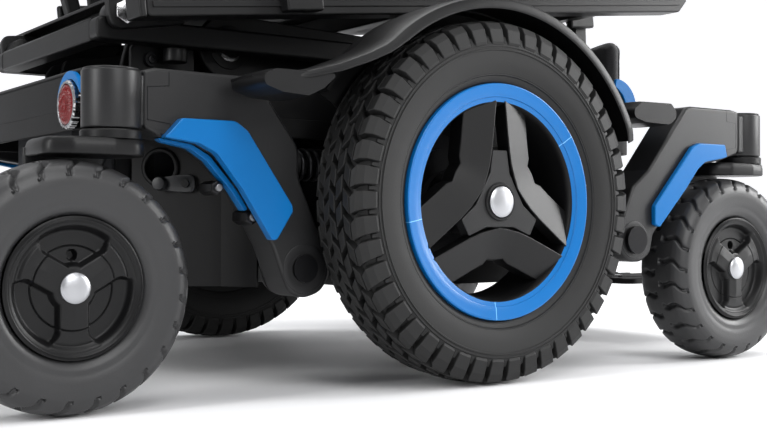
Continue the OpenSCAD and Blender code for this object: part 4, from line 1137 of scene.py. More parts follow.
def cover():
    """Walls round a rounded outline, and a lid whose height falls off with the fourth power of the distance
    from its middle; the front has a recess for the footrest."""
    def outline(m, low):
        x0, x1, y = -0.376 + m, 0.318 - m, 0.200 - m
        r, rx = 0.134 + m, 0.272 - m
        pts = [(x0, -y), (x1, -y), (x1, -r), (rx, -r), (rx, r), (x1, r), (x1, y), (x0, y)]
        rad = [0.024, 0.022, 0.004, 0.006, 0.006, 0.004, 0.022, 0.024]
        if low:
            q = 0.180 - m
            pts = [(x0, -q), (-0.274 + m, -q), (-0.274 + m, -y), (x1, -y), (x1, -r), (rx, -r), (rx, r),
                   (x1, r), (x1, y),
                   (-0.274 + m, y), (-0.274 + m, q), (x0, q)]
            rad = [0.016, 0.003, 0.003, 0.022, 0.004, 0.006, 0.006, 0.004, 0.022, 0.003, 0.003, 0.016]
        return round_corners(np.array(pts), rad, 6)
    parts = [ring_wall(outline(0.0, True), 0.240, 0.259, outline(0.003, True)),
             ring_wall(outline(0.0, False), 0.2585, 0.291, outline(0.003, False))]
    v, f = join(parts)
    mesh_piece("base_cover_walls", v, f, "base", BLACK_PLASTIC, "dark_plastic", replaces=("body_cover",),
               sharp=32.0, bevel=0.0008)
    o = outline(0.0, False)
    c = np.array([-0.03, 0.0])
    rings = [(1.0, 0.2895), (1.0, 0.2915), (0.994, 0.2938), (0.982, 0.2952), (0.95, 0.2962), (0.90, 0.2968),
             (0.6, 0.2978)]
    n = len(o)
    v = np.concatenate([np.column_stack([c[0] + (o[:, 0] - c[0]) * k, c[1] + (o[:, 1] - c[1]) * k,
                                         np.full(n, z)]) for k, z in rings])
    under = np.concatenate([np.column_stack([c[0] + (o[:, 0] - c[0]) * 0.985, (o[:, 1]) * 0.985,
                                             np.full(n, 0.2893)])])
    v = np.concatenate([v, under])
    k = len(rings)
    f = grid_faces(k, n, False, True)
    f += [[(k - 1) * n + i for i in range(n)]]
    f += [[i, k * n + i, k * n + (i + 1) % n,
           (i + 1) % n] for i in range(n)] + [[k * n + i for i in range(n)][::-1]]
    mesh_piece("base_cover_lid", v, f, "base", BLACK_PLASTIC, "dark_plastic", sharp=32.0)


# ------------------------------------------------------------------ lights
def lens_disc(name, x, y, z, r, depth, out, body, finish, slot, ribs=9, rays=24, **more):
    """A round lens facing along X: outward = dome + ribs(radius) + rays(angle)."""
    nt, nr = 144, 30
    t = np.linspace(0, 2 * math.pi, nt, endpoint=False)
    q = np.linspace(0, 1, nr)
    T, Q = np.meshgrid(t, q, indexing="ij")
    h = depth * (1 - 0.35 * Q ** 2) + 0.0004 * np.sin(Q * ribs * 2 * math.pi) * (Q < 0.82) + 0.0005 * np.cos(rays * T) * (Q > 0.25) * (Q < 0.84)
    h = np.where(Q > 0.97, 0.0, h)
    v = np.stack([x + out * h, y + r * Q * np.cos(T), z + r * Q * np.sin(T)], -1).reshape(-1, 3)
    f = grid_faces(nt, nr, True, False)
    n0 = len(v)
    v = np.concatenate([v, np.column_stack([np.full(nt, x), y + r * np.cos(t), z + r * np.sin(t)])])
    f += [[i * nr + nr - 1, n0 + i, n0 + (i + 1) % nt,
           ((i + 1) % nt) * nr + nr - 1] for i in range(nt)] + [[n0 + i for i in range(nt)]]
    return mesh_piece(name, v, f, body, finish, slot, merge=True, sharp=50.0, **more)


def crescent(name, x0, x1, y, z, r0, r1, a0, a1, body, finish, slot):
    """An arc band that faces along X and tapers to both tips."""
    a = np.radians(np.linspace(a0, a1, 40))
    w = np.sin(np.linspace(0, math.pi, 40)) ** 0.45
    o = np.concatenate([np.column_stack([y + r1 * np.cos(a), z + r1 * np.sin(a)]),
                        np.column_stack([y + (r1 - (r1 - r0) * w) * np.cos(a),
                                         z + (r1 - (r1 - r0) * w) * np.sin(a)])[-2:0:-1]])
    n = len(o)
    v = np.concatenate([np.column_stack([np.full(n, x), o]) for x in (x0, x1)])
    f = [[i, (i + 1) % n, n + (i + 1) % n, n + i] for i in range(n)] + [list(range(n))[::-1],
                                                                        list(range(n, 2 * n))]
    return mesh_piece(name, v, f, body, finish, slot, bevel=0.0006, bevel_seg=2, sharp=35.0)


def lights_of(side, s):
    """Tail light: turned bezel, ribbed lens, blue arc band. Head light: an outline that shrinks towards the
    top."""
    more = {"replaces": ("tail_lights",)} if s > 0 else {}
    cross = [(0.0215, 0.0), (0.0215, 0.0052), (0.0205, 0.0066), (0.0186, 0.0066), (0.0180, 0.0050),
             (0.0180, 0.0)]
    t = np.linspace(0, 2 * math.pi, 96, endpoint=False)
    pr = np.array(cross)
    notch = 1.0 + 0.018 * np.sign(np.cos(24 * t))[:, None] * (pr[None, :, 0] > 0.02)
    v = np.stack([np.broadcast_to(-0.376 - pr[:, 1], (96, 6)),
                  s * 0.172 + np.cos(t)[:, None] * pr[:, 0] * notch,
                  0.262 + np.sin(t)[:, None] * pr[:, 0] * notch], -1).reshape(-1, 3)
    mesh_piece("tail_light_bezel_" + side, v, grid_faces(96, 6, True, True), "base", STEEL, "lamp_red",
               sharp=30.0, **more)
    lens_disc("tail_light_lens_" + side, -0.378, s * 0.172, 0.262, 0.0182, 0.0062, -1.0, "base", RED_LENS,
              "lamp_red")
    crescent("tail_light_crescent_" + side, -0.3795, -0.3752, s * 0.172, 0.262, 0.0225, 0.0300, 15, 165,
             "base", BLUE, "accent_blue")
    more = {"replaces": ("head_lights",)} if s > 0 else {}
    o = round_corners(np.array([(0.262, 0.140), (0.318, 0.140), (0.318, 0.196), (0.262, 0.196)]), 0.014, 8)
    c = o.mean(0)
    n = len(o)
    lev = [(0.298, 1.0), (0.306, 1.0), (0.314, 0.985), (0.321, 0.93), (0.326, 0.84), (0.3295, 0.70),
           (0.3300, 0.3)]
    v = np.concatenate([np.column_stack([c[0] + (o[:, 0] - c[0]) * k, s * (c[1] + (o[:, 1] - c[1]) * k),
                                         np.full(n, z)]) for z, k in lev])
    f = grid_faces(len(lev), n, False, True) + [list(range(n)),
                                                [(len(lev) - 1) * n + i for i in range(n)][::-1]]
    mesh_piece("head_light_shell_" + side, v, f, "base", SATIN_PLASTIC, "lamp_white", sharp=50.0, **more)
    lens_disc("head_light_lens_" + side, 0.3175, s * 0.168, 0.310, 0.0092, 0.0052, 1.0, "base", WHITE_LENS,
              "lamp_white", 5, 12)
    # blue side flash: a curved band on the lamp's outer flank
    a = np.radians(np.linspace(-60, 78, 30))
    w = 0.0045 + 0.0045 * np.sin(np.linspace(0, math.pi, 30)) ** 0.6
    mid = np.column_stack([0.280 + 0.034 * np.cos(a), 0.297 + 0.030 * np.sin(a)])
    nor = np.column_stack([np.cos(a), np.sin(a)])
    o = np.concatenate([mid + nor * w[:, None], (mid - nor * w[:, None])[::-1]])
    v, f = extrude_xz(o, min(s * 0.1945, s * 0.1985), max(s * 0.1945, s * 0.1985))
    mesh_piece("head_light_flash_" + side, v, f, "base", BLUE, "accent_blue", bevel=0.0008, sharp=35.0)


# --------------------------------------------------------------- seat lift
P0 = (-0.190, 0.3365)
Q0 = (-0.130, 0.314)
LINK = 0.340


def tapered_link(p, r0, r1, L):
    """Outline of a bar between two eyes: each eye an arc, joined by its common tangents."""
    d = math.asin((r0 - r1) / L)
    a = np.linspace(math.pi / 2 - d, 1.5 * math.pi + d, 26)
    b = np.linspace(-math.pi / 2 + d, math.pi / 2 - d, 18)
    return np.concatenate([np.column_stack([p[0] + r0 * np.cos(a), p[1] + r0 * np.sin(a)]),
                           np.column_stack([p[0] + L + r1 * np.cos(b), p[1] + r1 * np.sin(b)])])


def lift(side, s):
    """Bracket, both links, platform rail and tilt pivot of one side, as flat outlines given a thickness
    along Y."""
    band = lambda a, b: (min(s * a, s * b), max(s * a, s * b))
    first = s > 0
    # fixed bracket: inner plate, outer plate with a bent front edge, foot
    v, f = extrude_xz(round_corners(np.array([(-300, 299), (-100, 299), (-110, 326), (-165, 351),
                                              (-214, 352), (-290, 338)]) * MM, 0.008, 6),
                                              *band(0.0842, 0.0918))
    mesh_piece("bracket_inner_" + side, v, f, "base", BLACK_COAT, "frame_black", bevel=0.0012, sharp=32.0,
               replaces=("lift_bracket",) if first else ())
    v, f = extrude_xz(round_corners(np.array([(-300, 299), (-233, 299), (-233, 334), (-238, 343),
                                              (-250, 344), (-292, 336), (-300, 326)]) * MM,
                                              [0, 0.002, 0.003, 0.004, 0.004, 0.012, 0.010], 6),
                                              *band(0.1162, 0.1218))
    mesh_piece("bracket_outer_" + side, v, f, "base", BLACK_COAT, "frame_black", bevel=0.0012, sharp=32.0)
    block("bracket_foot_" + side, (-0.300, min(band(0.060, 0.1175)), 0.2983),
          (-0.236, max(band(0.060, 0.1175)), 0.3038), 0.0015, "base", BLACK_COAT, "frame_black")
    block("bracket_foot_front_" + side, (-0.236, band(0.060, 0.092)[0], 0.2983),
          (-0.100, band(0.060, 0.092)[1], 0.3028), 0.0015, "base", BLACK_COAT, "frame_black")
    block("bracket_flange_" + side, (-0.2405, band(0.092, 0.1215)[0], 0.303),
          (-0.2335, band(0.092, 0.1215)[1], 0.338), 0.0012, "base", BLACK_COAT, "frame_black")
    for k, (x, z, r) in enumerate(((-0.246, 0.327, 0.0072), (-0.280, 0.316, 0.0072))):
        bolt(f"bracket_bolt_{side}_{k}", x, s * 0.1218, z, s * 0.0070, r * 0.62, "base", "bright_steel",
             NUTBLACK)
    # links
    o = tapered_link(P0, 0.034, 0.020, LINK)
    v, f = extrude_xz(o, *band(0.1052, 0.1148))
    mesh_piece("upper_link_" + side, v, f, "link_upper", BLACK_COAT, "frame_black", bevel=0.0018,
               bevel_seg=3, sharp=32.0,
               replaces=("lift_link_upper",) if first else ())
    cross_can("upper_link_eye_" + side, P0[0], P0[1], s * 0.1140, s * 0.1160, 0.0225, "link_upper",
              BLACK_COAT, "frame_black", 0.0008)
    bolt("upper_link_bolt_" + side, P0[0], s * 0.1158, P0[1], s * 0.0085, 0.0088, "link_upper",
         "bright_steel", STEEL)
    bolt("upper_link_front_bolt_" + side, P0[0] + LINK, s * 0.1155, P0[1], s * 0.0055, 0.0065, "platform",
         "bright_steel", STEEL)
    o = tapered_link(Q0, 0.0152, 0.0148, LINK)
    v, f = extrude_xz(o, *band(0.0935, 0.1028))
    mesh_piece("lower_link_" + side, v, f, "link_lower", BLACK_COAT, "frame_black", bevel=0.0015,
               bevel_seg=3, sharp=32.0,
               replaces=("lift_link_lower",) if first else ())
    # platform rail with its pads, end bracket and tilt pivot
    v, f = extrude_xz(round_corners(np.array([(-345, 327), (248, 327), (248, 349), (-345, 349)]) * MM,
                                    [0.006, 0.004, 0.004, 0.006], 4), *band(0.1302, 0.1498))
    mesh_piece("platform_rail_" + side, v, f, "platform", BLACK_COAT, "frame_black", bevel=0.0025,
               bevel_seg=3, sharp=32.0,
               replaces=("lift_platform",) if first else ())
    p1, q1 = P0[0] + LINK, Q0[0] + LINK
    o = round_corners(np.array([(p1 - 0.024, P0[1] - 0.012), (p1 - 0.024, 0.3615), (p1 + 0.026, 0.3615),
                                (q1 + 0.020, 0.3495),
                                (q1 + 0.020, Q0[1] - 0.012), (q1 - 0.014, Q0[1] - 0.012)]), 0.006, 5)
    v, f = extrude_xz(o, *band(0.0842, 0.0918))
    mesh_piece("platform_plate_" + side, v, f, "platform", BLACK_COAT, "frame_black", bevel=0.0012,
               sharp=32.0)
    cross_can("platform_boss_" + side, TILT[0], TILT[2], s * 0.1300, s * 0.1500, 0.0130, "platform",
              BLACK_COAT, "frame_black", 0.0012)
    cross_can("tilt_pin_" + side, TILT[0], TILT[2], s * 0.1490, s * 0.1640, 0.0078, "platform", STEEL,
              "frame_black", 0.0008)
    cross_can("tilt_nut_" + side, TILT[0], TILT[2], s * 0.1625, s * 0.1668, 0.0118, "platform", STEEL,
              "frame_black", 0.0008, hexed=True)
    upright_can("rail_pad_" + side, -0.262, s * 0.1400, 0.3120, 0.3265, 0.0115, "platform", SATIN_PLASTIC,
                "frame_black", 0.002)
    # seat tab at the tilt axis
    o = round_corners(np.array([(-0.016, -0.016), (0.060, -0.012), (0.060, 0.020), (-0.010, 0.020),
                                (-0.016, 0.012)]), [0.012, 0.004, 0.002, 0.006, 0.008], 6)
    v, f = extrude_xz(o, *band(0.1522, 0.1618))
    mesh_piece("tilt_tab_" + side, seat_at(v), f, "seat", BLACK_COAT, "frame_black", bevel=0.0015, sharp=32.0)


def platform_ends():
    """Beams and cross tubes that tie the two sides, and the tilt actuator turned about a line along X."""
    for k, (a, b) in enumerate(((-0.3445, -0.3255), (0.2285, 0.2475))):
        block(f"platform_beam_{k}", (a, -0.131, 0.3268), (b, 0.131, 0.3492), 0.0025, "platform", BLACK_COAT,
              "frame_black")
    for name, (x, z), half, body in (("upper_link_tie", (0.0, P0[1]), 0.1062, "link_upper"),
                                     ("lower_link_tie", (0.040, Q0[1]), 0.0942, "link_lower")):
        cross_can(name, x, z, -half, half, 0.0079, body, BLACK_COAT, "frame_black", 0.0006)
    # tilt actuator: body, front collar, rod, clevis
    for k, (a, b, r, fin) in enumerate(((0.066, 0.074, 0.0150, BLACK_COAT),
                                        (0.073, 0.232, 0.0158, SATIN_PLASTIC), (0.231, 0.243, 0.0150, ZINC),
                                        (0.241, 0.296, 0.0088, STEEL), (0.078, 0.083, 0.0161, ZINC))):
        prof = np.array([(0.0, a), (r * 0.9, a), (r, a + 0.0012), (r, b - 0.0012), (r * 0.9, b), (0.0, b)])
        q = np.linspace(0, 2 * math.pi, 48, endpoint=False)
        v = np.stack([np.broadcast_to(prof[:, 1], (48, 6)), -0.056 + np.outer(np.cos(q), prof[:, 0]),
                      0.376 + np.outer(np.sin(q), prof[:, 0])], -1)
        mesh_piece(f"actuator_part_{k}", v.reshape(-1, 3), grid_faces(48, 6, True, False), "platform", fin,
                   "motor_metal", merge=True,
                   sharp=35.0, replaces=("tilt_actuator",) if k == 1 else ())
    cross_can("actuator_eye", 0.306, 0.376, -0.066, -0.046, 0.0148, "platform", ZINC, "motor_metal", 0.0012)
    bolt("actuator_pin_a", 0.306, -0.066, 0.376, -0.006, 0.0068, "platform", "motor_metal", STEEL)
    block("actuator_saddle", (0.229, -0.067, 0.3495), (0.239, -0.045, 0.368), 0.0012, "platform", BLACK_COAT,
          "motor_metal")


for side, s in SIDES:
    springs(side, s)
    release(side, s)
    lights_of(side, s)
    lift(side, s)
cover()
platform_ends()


# ------------------------------------------------------------ upholstery
def cushion_grid(lo, hi, r, n=26):
    """A box with round edges: cube points scaled to the half sizes, drawn in by r, then pushed out r along
    the direction to the drawn-in core."""
    lo, hi = np.array(lo, float), np.array(hi, float)
    half, mid = (hi - lo) / 2, (hi + lo) / 2
    q = np.linspace(-1, 1, n)
    A, B = np.meshgrid(q, q, indexing="ij")
    v, f = [], []
    for ax in range(3):
        for sgn in (-1.0, 1.0):
            p = np.zeros((n, n, 3))
            p[..., ax], p[..., (ax + 1) % 3], p[..., (ax + 2) % 3] = sgn, A, B
            p = p.reshape(-1, 3) * half
            core = np.clip(p, -(half - r), half - r)
            d = p - core
            d /= np.maximum(np.linalg.norm(d, axis=1), 1e-9)[:, None]
            v.append(mid + core + d * r)
            f.append(grid_faces(n, n, False, False))
    return join(list(zip(v, f)))


def swell(ob, voxel, cap, pressure=4.0):
    """Voxel remesh, then cloth under inner pressure without gravity; moves longer than the cap are
    shortened to it."""
    scene = bpy.context.scene
    m = ob.modifiers.new("even", "REMESH")
    m.mode, m.voxel_size = "VOXEL", voxel
    dg = bpy.context.evaluated_depsgraph_get()
    even = bpy.data.meshes.new_from_object(ob.evaluated_get(dg))
    ob.modifiers.clear()
    old, ob.data = ob.data, even
    for mat in old.materials:
        if not len(even.materials):
            even.materials.append(mat)
    before = np.empty(len(even.vertices) * 3)
    even.vertices.foreach_get("co", before)
    before = before.reshape(-1, 3)
    c = ob.modifiers.new("air", "CLOTH")
    c.settings.use_pressure, c.settings.uniform_pressure_force = True, pressure
    c.settings.effector_weights.gravity = 0.0
    c.settings.quality = 4
    c.point_cache.frame_start, c.point_cache.frame_end = 1, 20
    for k in range(1, 21):
        scene.frame_set(k)
    dg = bpy.context.evaluated_depsgraph_get()
    moved = ob.evaluated_get(dg)
    after = np.empty(len(before) * 3)
    moved.data.vertices.foreach_get("co", after)
    after = after.reshape(-1, 3)
    ob.modifiers.clear()
    scene.frame_set(1)
    d = after - before
    far = np.linalg.norm(d, axis=1)[:, None]
    return before + d * np.minimum(1.0, cap / np.maximum(far, 1e-9))
    return before


def pad_piece(name, lo, hi, edge, body, place, replaces=(), voxel=0.006, cap=0.024, draw=0.006, face=2,
              channels=(),
              finish=CLOTH, slot="upholstery", soft=True):
    """A sewn pad: swollen body kept to its own box, flat under side, crowned face, seams sewn as grooves."""
    lo, hi = np.array(lo, float), np.array(hi, float)
    out = np.full(3, draw)
    a, b = lo + out, hi - out
    a[face] = lo[face] + 0.0008
    v, f = cushion_grid(a, b, edge)
    ob = mesh_piece(name, v, f, body, finish, slot, merge=True, sharp=180.0, replaces=replaces)
    if soft:
        p = swell(ob, voxel, cap)
    else:
        p = np.empty(len(ob.data.vertices) * 3)
        ob.data.vertices.foreach_get("co", p)
        p = p.reshape(-1, 3)
    mid, half = (lo + hi) / 2, (hi - lo) / 2
    e = [i for i in range(3) if i != face]
    q = (p - mid) / half
    crown = np.clip(1 - np.abs(q[:, e[0]]) ** 3, 0, 1) * np.clip(1 - np.abs(q[:, e[1]]) ** 3, 0, 1)
    if not soft:
        p[:, face] += np.where(q[:, face] > 0, draw * crown, 0.0)
    for ax, at, deep, wide in channels:
        p[:, face] -= np.where(q[:, face] > 0.3, deep * np.exp(-((p[:, ax] - at) / wide) ** 2), 0.0)
    line = hi[face] - edge * 0.95
    pinch = np.exp(-((p[:, face] - line) / 0.0045) ** 2) * 0.0022
    for ax in e:
        p[:, ax] -= np.sign(q[:, ax]) * pinch * (np.abs(q[:, ax]) > 0.82)
    p = np.clip(p, lo - np.where(np.arange(3) == face, 0.0, 0.0015),
                hi + np.where(np.arange(3) == face, 0.004, 0.0015))
    w = place(p)
    ob.data.vertices.foreach_set("co", w.reshape(-1))
    ob.data.update()
    ob.data.polygons.foreach_set("use_smooth", [True] * len(ob.data.polygons))
    sub = ob.modifiers.new("fine", "SUBSURF")
    sub.levels = sub.render_levels = 1
    # piping round the seam, at the pad's own outline there
    near = np.abs(p[:, face] - line) < 0.006
    ang = np.arctan2((p[near, e[1]] - mid[e[1]]) / half[e[1]], (p[near, e[0]] - mid[e[0]]) / half[e[0]])
    rad = np.hypot((p[near, e[0]] - mid[e[0]]) / half[e[0]], (p[near, e[1]] - mid[e[1]]) / half[e[1]])
    o = np.argsort(ang)
    t = np.linspace(-math.pi, math.pi, 260, endpoint=False)
    r = np.interp(t, ang[o], rad[o], period=2 * math.pi)
    r = np.convolve(np.concatenate([r[-3:], r, r[:3]]), np.ones(7) / 7, "valid")
    path = np.zeros((260, 3))
    path[:, e[0]] = mid[e[0]] + half[e[0]] * r * np.cos(t)
    path[:, e[1]] = mid[e[1]] + half[e[1]] * r * np.sin(t)
    path[:, face] = line
    tube(name + "_piping", place(path), 0.0022, body, PIPING, slot, n=8, closed=True)
    return ob


PIPING = coated("seam_piping", rgb(26, 26, 28), 0.6, 1500.0, 0.00015, gloss=0.3)
VINYL = coated("armrest_skin", rgb(19, 19, 20), 0.5, 1100.0, 0.0003, gloss=0.35)


def seat_parts():
    """Rails, beams, pan, tabs and posts as rounded boxes in the seat frame, and the sewn cushion."""
    for side, s in SIDES:
        band = lambda a, b: (min(s * a, s * b), max(s * a, s * b))
        o = round_corners(np.array([(-10, -14), (690, -14), (706, 0), (706, 12), (-10, 12)]) * MM,
                          [0.005, 0.006, 0.006, 0.004, 0.005], 5)
        v, f = extrude_xz(o, *band(0.2002, 0.2298))
        mesh_piece("seat_rail_" + side, seat_at(v), f, "seat", BLACK_COAT, "frame_black", bevel=0.0018,
                   bevel_seg=3, sharp=32.0,
                   replaces=("seat_frame",) if s > 0 else ())
        for k, w in enumerate((-0.006, 0.003)):
            block(f"seat_rail_rib_{side}_{k}", (-0.004, band(0.2296, 0.2312)[0], w),
                  (0.690, band(0.2296, 0.2312)[1], w + 0.0055), 0.0006,
                  "seat", SATIN_PLASTIC, "frame_black", place=seat_at)
        block("rail_end_cap_" + side, (-0.0165, band(0.1995, 0.2305)[0], -0.0145),
              (-0.0095, band(0.1995, 0.2305)[1], 0.0125), 0.0022, "seat",
              SATIN_PLASTIC, "frame_black", place=seat_at)
        block("back_tab_" + side, (0.080, band(0.2192, 0.2288)[0], 0.010),
              (0.130, band(0.2192, 0.2288)[1], 0.0645), 0.003, "seat",
              BLACK_COAT, "frame_black", place=seat_at)
        c = seat_at([(0.105, 0.0, 0.045)])[0]
        bolt("back_pivot_bolt_" + side, c[0], s * 0.2285, c[2], s * 0.0060, 0.0072, "seat", "bright_steel",
             STEEL)
        block("arm_post_" + side, (0.126, band(0.2322, 0.2438)[0], -0.012),
              (0.164, band(0.2322, 0.2438)[1], 0.2615), 0.003, "seat",
              BLACK_COAT, "frame_black", place=seat_at)
        block("arm_post_foot_" + side, (0.125, band(0.2292, 0.2440)[0], -0.0118),
              (0.165, band(0.2292, 0.2440)[1], 0.0098), 0.002, "seat",
              BLACK_COAT, "frame_black", place=seat_at)
        c = seat_at([(0.145, 0.0, 0.245)])[0]
        bolt("arm_pivot_bolt_" + side, c[0], s * 0.2613, c[2], s * 0.0060, 0.0062, "seat", "bright_steel",
             STEEL)
        block("leg_lug_" + side, (0.662, band(0.0642, 0.0738)[0], -0.0118),
              (0.7055, band(0.0642, 0.0738)[1], 0.0215), 0.003, "seat",
              BLACK_COAT, "frame_black", place=seat_at)
    for k, u in enumerate((0.030, 0.340, 0.640)):
        block(f"seat_beam_{k}", (u, -0.2008, -0.0018), (u + 0.030, 0.2008, 0.0208), 0.0022, "seat",
              BLACK_COAT, "frame_black", place=seat_at)
    block("seat_pan", (0.011, -0.2175, 0.0202), (0.689, 0.2175, 0.0239), 0.0012, "seat", BLACK_COAT,
          "frame_black", place=seat_at)
    pad_piece("seat_cushion_pad", (0.133, -0.230, 0.0243), (0.633, 0.230, 0.0943), 0.022, "seat", seat_at,
              ("seat_cushion",),
              channels=((1, -0.085, 0.004, 0.006), (1, 0.085, 0.004, 0.006), (0, 0.455, 0.003, 0.006)))


def back_parts():
    """Tubes, bars, panel and headrest post as rounded boxes in the back frame, and the two sewn pads."""
    turn = back_at
    for side, s in SIDES:
        band = lambda a, b: (min(s * a, s * b), max(s * a, s * b))
        block("back_tube_" + side, (-0.0198, band(0.1962, 0.2158)[0], -0.002),
              (-0.0022, band(0.1962, 0.2158)[1], 0.560), 0.004, "back",
              BLACK_COAT, "frame_black", place=turn, replaces=("back_frame",) if s > 0 else ())
        block("back_tube_cap_" + side, (-0.0205, band(0.1955, 0.2165)[0], 0.556),
              (-0.0015, band(0.1955, 0.2165)[1], 0.5625), 0.0022, "back",
              SATIN_PLASTIC, "frame_black", place=turn)
        c = back_at([(0.0, 0.0, 0.0)])[0]
        cross_can("back_hinge_" + side, c[0], c[2], band(0.2072, 0.2185)[0], band(0.2072, 0.2185)[1], 0.0150,
                  "back", BLACK_COAT, "frame_black", 0.0012)
    for k, v0 in enumerate((0.060, 0.300, 0.530)):
        block(f"back_bar_{k}", (-0.0196, -0.197, v0), (-0.0024, 0.197, v0 + 0.020), 0.003, "back",
              BLACK_COAT, "frame_black", place=turn)
    block("back_panel", (-0.0038, -0.1995, 0.0605), (-0.0002, 0.1995, 0.5595), 0.0012, "back", BLACK_PLASTIC,
          "frame_black", place=turn)
    block("headrest_socket", (-0.0398, -0.0258, 0.4805), (-0.0192, 0.0258, 0.5595), 0.003, "back",
          SATIN_PLASTIC, "frame_black", place=turn)
    pad_piece("back_cushion_pad", (0.0003, -0.210, 0.072), (0.0553, 0.210, 0.612), 0.022, "back", back_at,
              ("back_cushion",), face=0,
              channels=((2, 0.235, 0.0035, 0.006), (2, 0.345, 0.0035, 0.006), (2, 0.455, 0.0035, 0.006)))
    block("headrest_post", (-0.0338, -0.0148, 0.451), (-0.0262, 0.0148, 0.700), 0.0012, "headrest", STEEL,
          "upholstery", place=turn)
    block("headrest_arm", (-0.0338, -0.0148, 0.6805), (0.0240, 0.0148, 0.6995), 0.002, "headrest",
          BLACK_COAT, "upholstery", place=turn)
    pad_piece("headrest_pad", (0.022, -0.125, 0.635), (0.072, 0.125, 0.765), 0.020, "headrest", back_at,
              ("headrest",), face=0,
              voxel=0.005, channels=((1, 0.0, 0.003, 0.02),))


def leg_parts():
    """Tapered leg bars, hinges, calf pad, and a ribbed tread plate lofted from one rounded outline."""
    leg, foot = (0.3632, 0.4339), (0.375, 0.097)
    for side, s in SIDES:
        y0, y1 = min(s * 0.0472, s * 0.0635), max(s * 0.0472, s * 0.0635)
        o = np.array([(leg[0] + 0.012, leg[1]), (foot[0] + 0.011, foot[1]), (foot[0] - 0.011, foot[1]),
                      (leg[0] - 0.012, leg[1])])
        v, f = extrude_xz(o, y0, y1)
        mesh_piece("leg_tube_" + side, v, f, "leg_rest", BLACK_COAT, "frame_black", bevel=0.0035,
                   bevel_seg=3, sharp=32.0,
                   replaces=("leg_rest",) if s > 0 else ())
        cross_can("leg_knee_" + side, leg[0], leg[1], y0, y1, 0.0140, "leg_rest", BLACK_COAT, "frame_black",
                  0.0015)
        cross_can("leg_ankle_" + side, foot[0], foot[1], y0, y1, 0.0120, "leg_rest", BLACK_COAT,
                  "frame_black", 0.0015)
        cross_can("foot_hinge_" + side, foot[0], foot[1], min(s * 0.0652, s * 0.0838),
                  max(s * 0.0652, s * 0.0838), 0.0110, "foot_plate",
                  BLACK_COAT, "frame_black", 0.0012)
        block("foot_lug_" + side, (foot[0] - 0.0035, min(s * 0.0662, s * 0.0838), foot[1] - 0.0198),
              (foot[0] + 0.0295, max(s * 0.0662, s * 0.0838), foot[1] - 0.0042), 0.002, "foot_plate",
              BLACK_COAT, "frame_black")
        bolt("foot_bolt_" + side, foot[0], s * 0.0838, foot[1], s * 0.0045, 0.0048, "foot_plate",
             "frame_black", STEEL)
        upright_can("foot_screw_" + side, 0.440, s * 0.060, 0.0835, 0.0862, 0.0062, "foot_plate", STEEL,
                    "frame_black", 0.0006)
    for k, (a, z) in enumerate(((leg[0] - 0.006, 0.360), (leg[0] - 0.002, 0.250))):
        block(f"leg_cross_{k}", (a, -0.0478, z), (a + 0.0175, 0.0478, z + 0.020), 0.003, "leg_rest",
              BLACK_COAT, "frame_black")
    pad_piece("calf_pad", (leg[0] + 0.0155, -0.112, 0.246), (leg[0] + 0.0455, 0.112, 0.404), 0.013,
              "leg_rest", lambda p: p, face=0,
              voxel=0.004, cap=0.012, draw=0.004)
    o = round_corners(np.array([(0.3892, -0.1248), (0.5122, -0.1248), (0.5122, 0.1248), (0.3892, 0.1248)]),
                      0.018, 8)
    c, n = o.mean(0), len(o)
    lev = [(0.0772, 0.985), (0.0785, 1.0), (0.0838, 1.0), (0.0850, 0.985)]
    v = np.concatenate([np.column_stack([c[0] + (o[:, 0] - c[0]) * k, c[1] + (o[:, 1] - c[1]) * k,
                                         np.full(n, z)]) for z, k in lev])
    mesh_piece("foot_tread", v, grid_faces(4, n, False, True) + [list(range(n))[::-1],
                                                                 [3 * n + i for i in range(n)]], "foot_plate",
               BLACK_PLASTIC, "frame_black", replaces=("foot_plate",), sharp=32.0)
    for k in range(9):
        y = -0.096 + k * 0.024
        block(f"foot_rib_{k}", (0.404, y - 0.0035, 0.0847), (0.500, y + 0.0035, 0.0866), 0.0008,
              "foot_plate", TREAD, "frame_black")


def arm_rests():
    """A flat bar with a round eye, two risers and a moulded pad, on each side."""
    for side, s in SIDES:
        body, reach = "armrest_" + side, (0.430 if s > 0 else 0.545)
        y = lambda a, b: (min(s * a, s * b), max(s * a, s * b))
        o = round_corners(np.array([(0.145, 0.2342), (reach, 0.2342), (reach, 0.2558), (0.145, 0.2558)]),
                          0.006, 5)
        v, f = extrude_xz(o, *y(0.2462, 0.2608))
        mesh_piece("arm_bar_" + side, seat_at(v), f, body, BLACK_COAT, NODE_SLOT["armrest_left"],
                   bevel=0.0022, bevel_seg=3, sharp=32.0,
                   replaces=("armrest_" + side,))
        c = seat_at([(0.145, 0.0, 0.245)])[0]
        cross_can("arm_eye_" + side, c[0], c[2], *y(0.2462, 0.2608), 0.0160, body, BLACK_COAT,
                  NODE_SLOT["armrest_left"], 0.0015)
        for k, u in enumerate((0.220, 0.390)):
            block(f"arm_riser_{side}_{k}", (u, y(0.2462, 0.2608)[0], 0.254),
                  (u + 0.030, y(0.2462, 0.2608)[1], 0.2645), 0.0015, body, BLACK_COAT,
                  NODE_SLOT["armrest_left"], place=seat_at)
        a, b = y(0.238, 0.300)
        pad_piece("arm_pad_" + side, (0.195, a, 0.2632), (0.455, b, 0.2870), 0.0105, body, seat_at,
                  voxel=0.004, cap=0.008, draw=0.003,
                  finish=VINYL, slot=NODE_SLOT["armrest_left"], soft=False)


